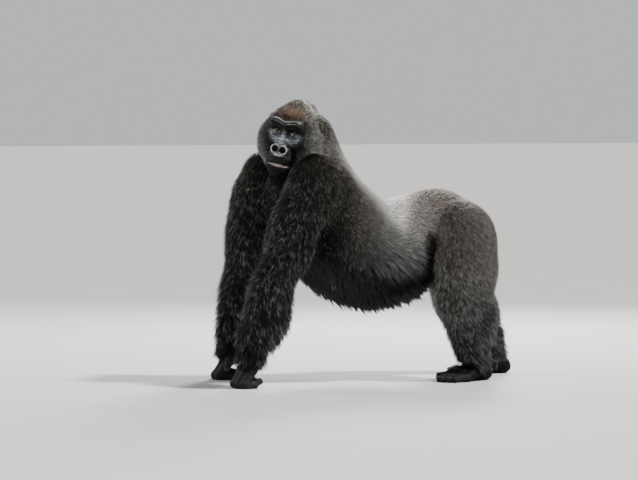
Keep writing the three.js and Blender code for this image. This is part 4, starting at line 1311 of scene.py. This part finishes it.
def coat(name, faces, slot, segments=1, clump=0):
    """One piece of the coat, over some faces of the skin."""
    shape, look = grown(faces, segments, clump)
    roots = bpy.data.meshes.new("roots")
    roots.vertices.add(len(shape["root"]))
    roots.vertices.foreach_set("co", shape["root"].astype(np.float32).ravel())
    for key, values in shape.items():
        give(roots, key, values, "FLOAT_VECTOR")
    for key, values in look.items():
        give(roots, key, values, "FLOAT_COLOR" if values.ndim == 2 else "FLOAT")
    seed = linked("seed_" + name, roots)
    grow = seed.modifiers.new("locks", "NODES")
    grow.node_group = lock_group
    # Fullness is how much a tuft swells midway, and Patch is its size on the map.
    settings = {"Segments": segments, "Fullness": 2.0, "Patch": 0.003, "Material": hair_finish}
    for label, value in settings.items():
        grow[lock_inputs[label]] = value
    bpy.context.view_layer.update()
    graph = bpy.context.evaluated_depsgraph_get()
    mesh = bpy.data.meshes.new_from_object(seed.evaluated_get(graph))
    mesh.name = name
    seed.modifiers.clear()
    bpy.data.objects.remove(seed)
    bpy.data.meshes.remove(roots)
    for key in shape:
        mesh.attributes.remove(mesh.attributes[key])
    return add(name, mesh, hair_finish, slot)


def faces_of(*parts):
    return np.flatnonzero(np.isin(part_of_face, parts))


body_faces = faces_of(TRUNK)
facing = normals[triangles[body_faces]].mean(1)
centre = points[triangles[body_faces]].mean(1)
above = (facing[:, 2] > 0.15) & (centre[:, 2] > 600)
left = centre[:, 0] > 5
coat("coat_back", body_faces[above], "silver_coat")
coat("coat_flank_left", body_faces[~above & left], "silver_coat", clump=12)
coat("coat_flank_right", body_faces[~above & ~left], "silver_coat", clump=12)
coat("coat_neck", faces_of(NECK), "grey_coat", segments=2)
coat("coat_head", faces_of(HEAD), "grey_coat")
for side in SIDES:
    coat(f"coat_arm_{NAME[side]}", faces_of(ARM_OF[side]), "black_coat", clump=6)
    coat(f"coat_leg_{NAME[side]}", faces_of(LEG[side]), "black_coat", clump=6)


# ================================================================ the floor, light and camera
# A pale studio: a wide plain floor under a soft sky, a warm sun over the back, and panels for the rim,
# the far side and the shadows. The camera stands off the animal's left side, low down.

FLOOR_HALF = 60
floor_mesh = bpy.data.meshes.new("floor")
corners = [(x * FLOOR_HALF, y * FLOOR_HALF, 0) for x, y in ((-1, -1), (1, -1), (1, 1), (-1, 1))]
floor_mesh.from_pydata(corners, [], [range(4)])
paint = Finish("pale_floor")
dusty = paint.mixed(paint.noise(3, 4), (0.52, 0.515, 0.505, 1), (0.58, 0.575, 0.565, 1))
floor_mesh.materials.append(paint.set(Base_Color=dusty, Roughness=0.8))
linked("floor", floor_mesh)

world = bpy.data.worlds.new("studio")
bpy.context.scene.world = world
room = Finish("studio", world, "Background")
height = room.node("SeparateXYZ", {}, room.node("TexCoord", {}, out="Generated"), out="Z")
sky = room.mixed(height.clamped(0.06, 0.30), (0.62, 0.64, 0.66, 1), (0.25, 0.27, 0.29, 1))
room.set(Color=sky, Strength=1.0)


def lamp(name, kind, place, aim, size, power, tone=(1, 1, 1)):
    """A light at a place, aimed at another. A sun's size is in degrees, and a panel's is in metres."""
    light = bpy.data.lights.new(name, kind)
    if kind == "SUN":
        light.angle = math.radians(size)
    else:
        light.shape, light.size = "DISK", size
    light.energy, light.color = power, tone
    made = linked(name, light)
    made.location = place
    way = np.array(aim, float) - np.array(place, float)
    made.rotation_euler = Vector(way).to_track_quat("-Z", "Y").to_euler()


lamp("sun", "SUN", (1.2, 2.2, 3.9), (0, 0, 0.5), 7, 6.0, (1.0, 0.97, 0.93))
lamp("rim_panel", "AREA", (-3.8, 2.0, 3.0), (0, 0, 0.9), 1.4, 380)
lamp("side_panel", "AREA", (-3.0, -3.4, 2.8), (0, -0.4, 1.0), 1.2, 90)
lamp("fill_panel", "AREA", (4.5, -3.0, 2.6), (0, 0, 0.7), 0.6, 45)

AZIMUTH, ELEVATION, DISTANCE = math.radians(72), math.radians(2.5), 16.0
TARGET = np.array((-0.0570, -0.1755, 0.630)) + OFFSET
camera = bpy.data.cameras.new("camera")
camera.lens, camera.sensor_width = 200.6, 36
camera.clip_end = 200
view = linked("camera", camera)
level = math.cos(ELEVATION)
back = np.array((math.sin(AZIMUTH) * level, -math.cos(AZIMUTH) * level, math.sin(ELEVATION)))
view.location = TARGET + DISTANCE * back
view.rotation_euler = (math.pi / 2 - ELEVATION, 0, AZIMUTH)
bpy.context.scene.camera = view
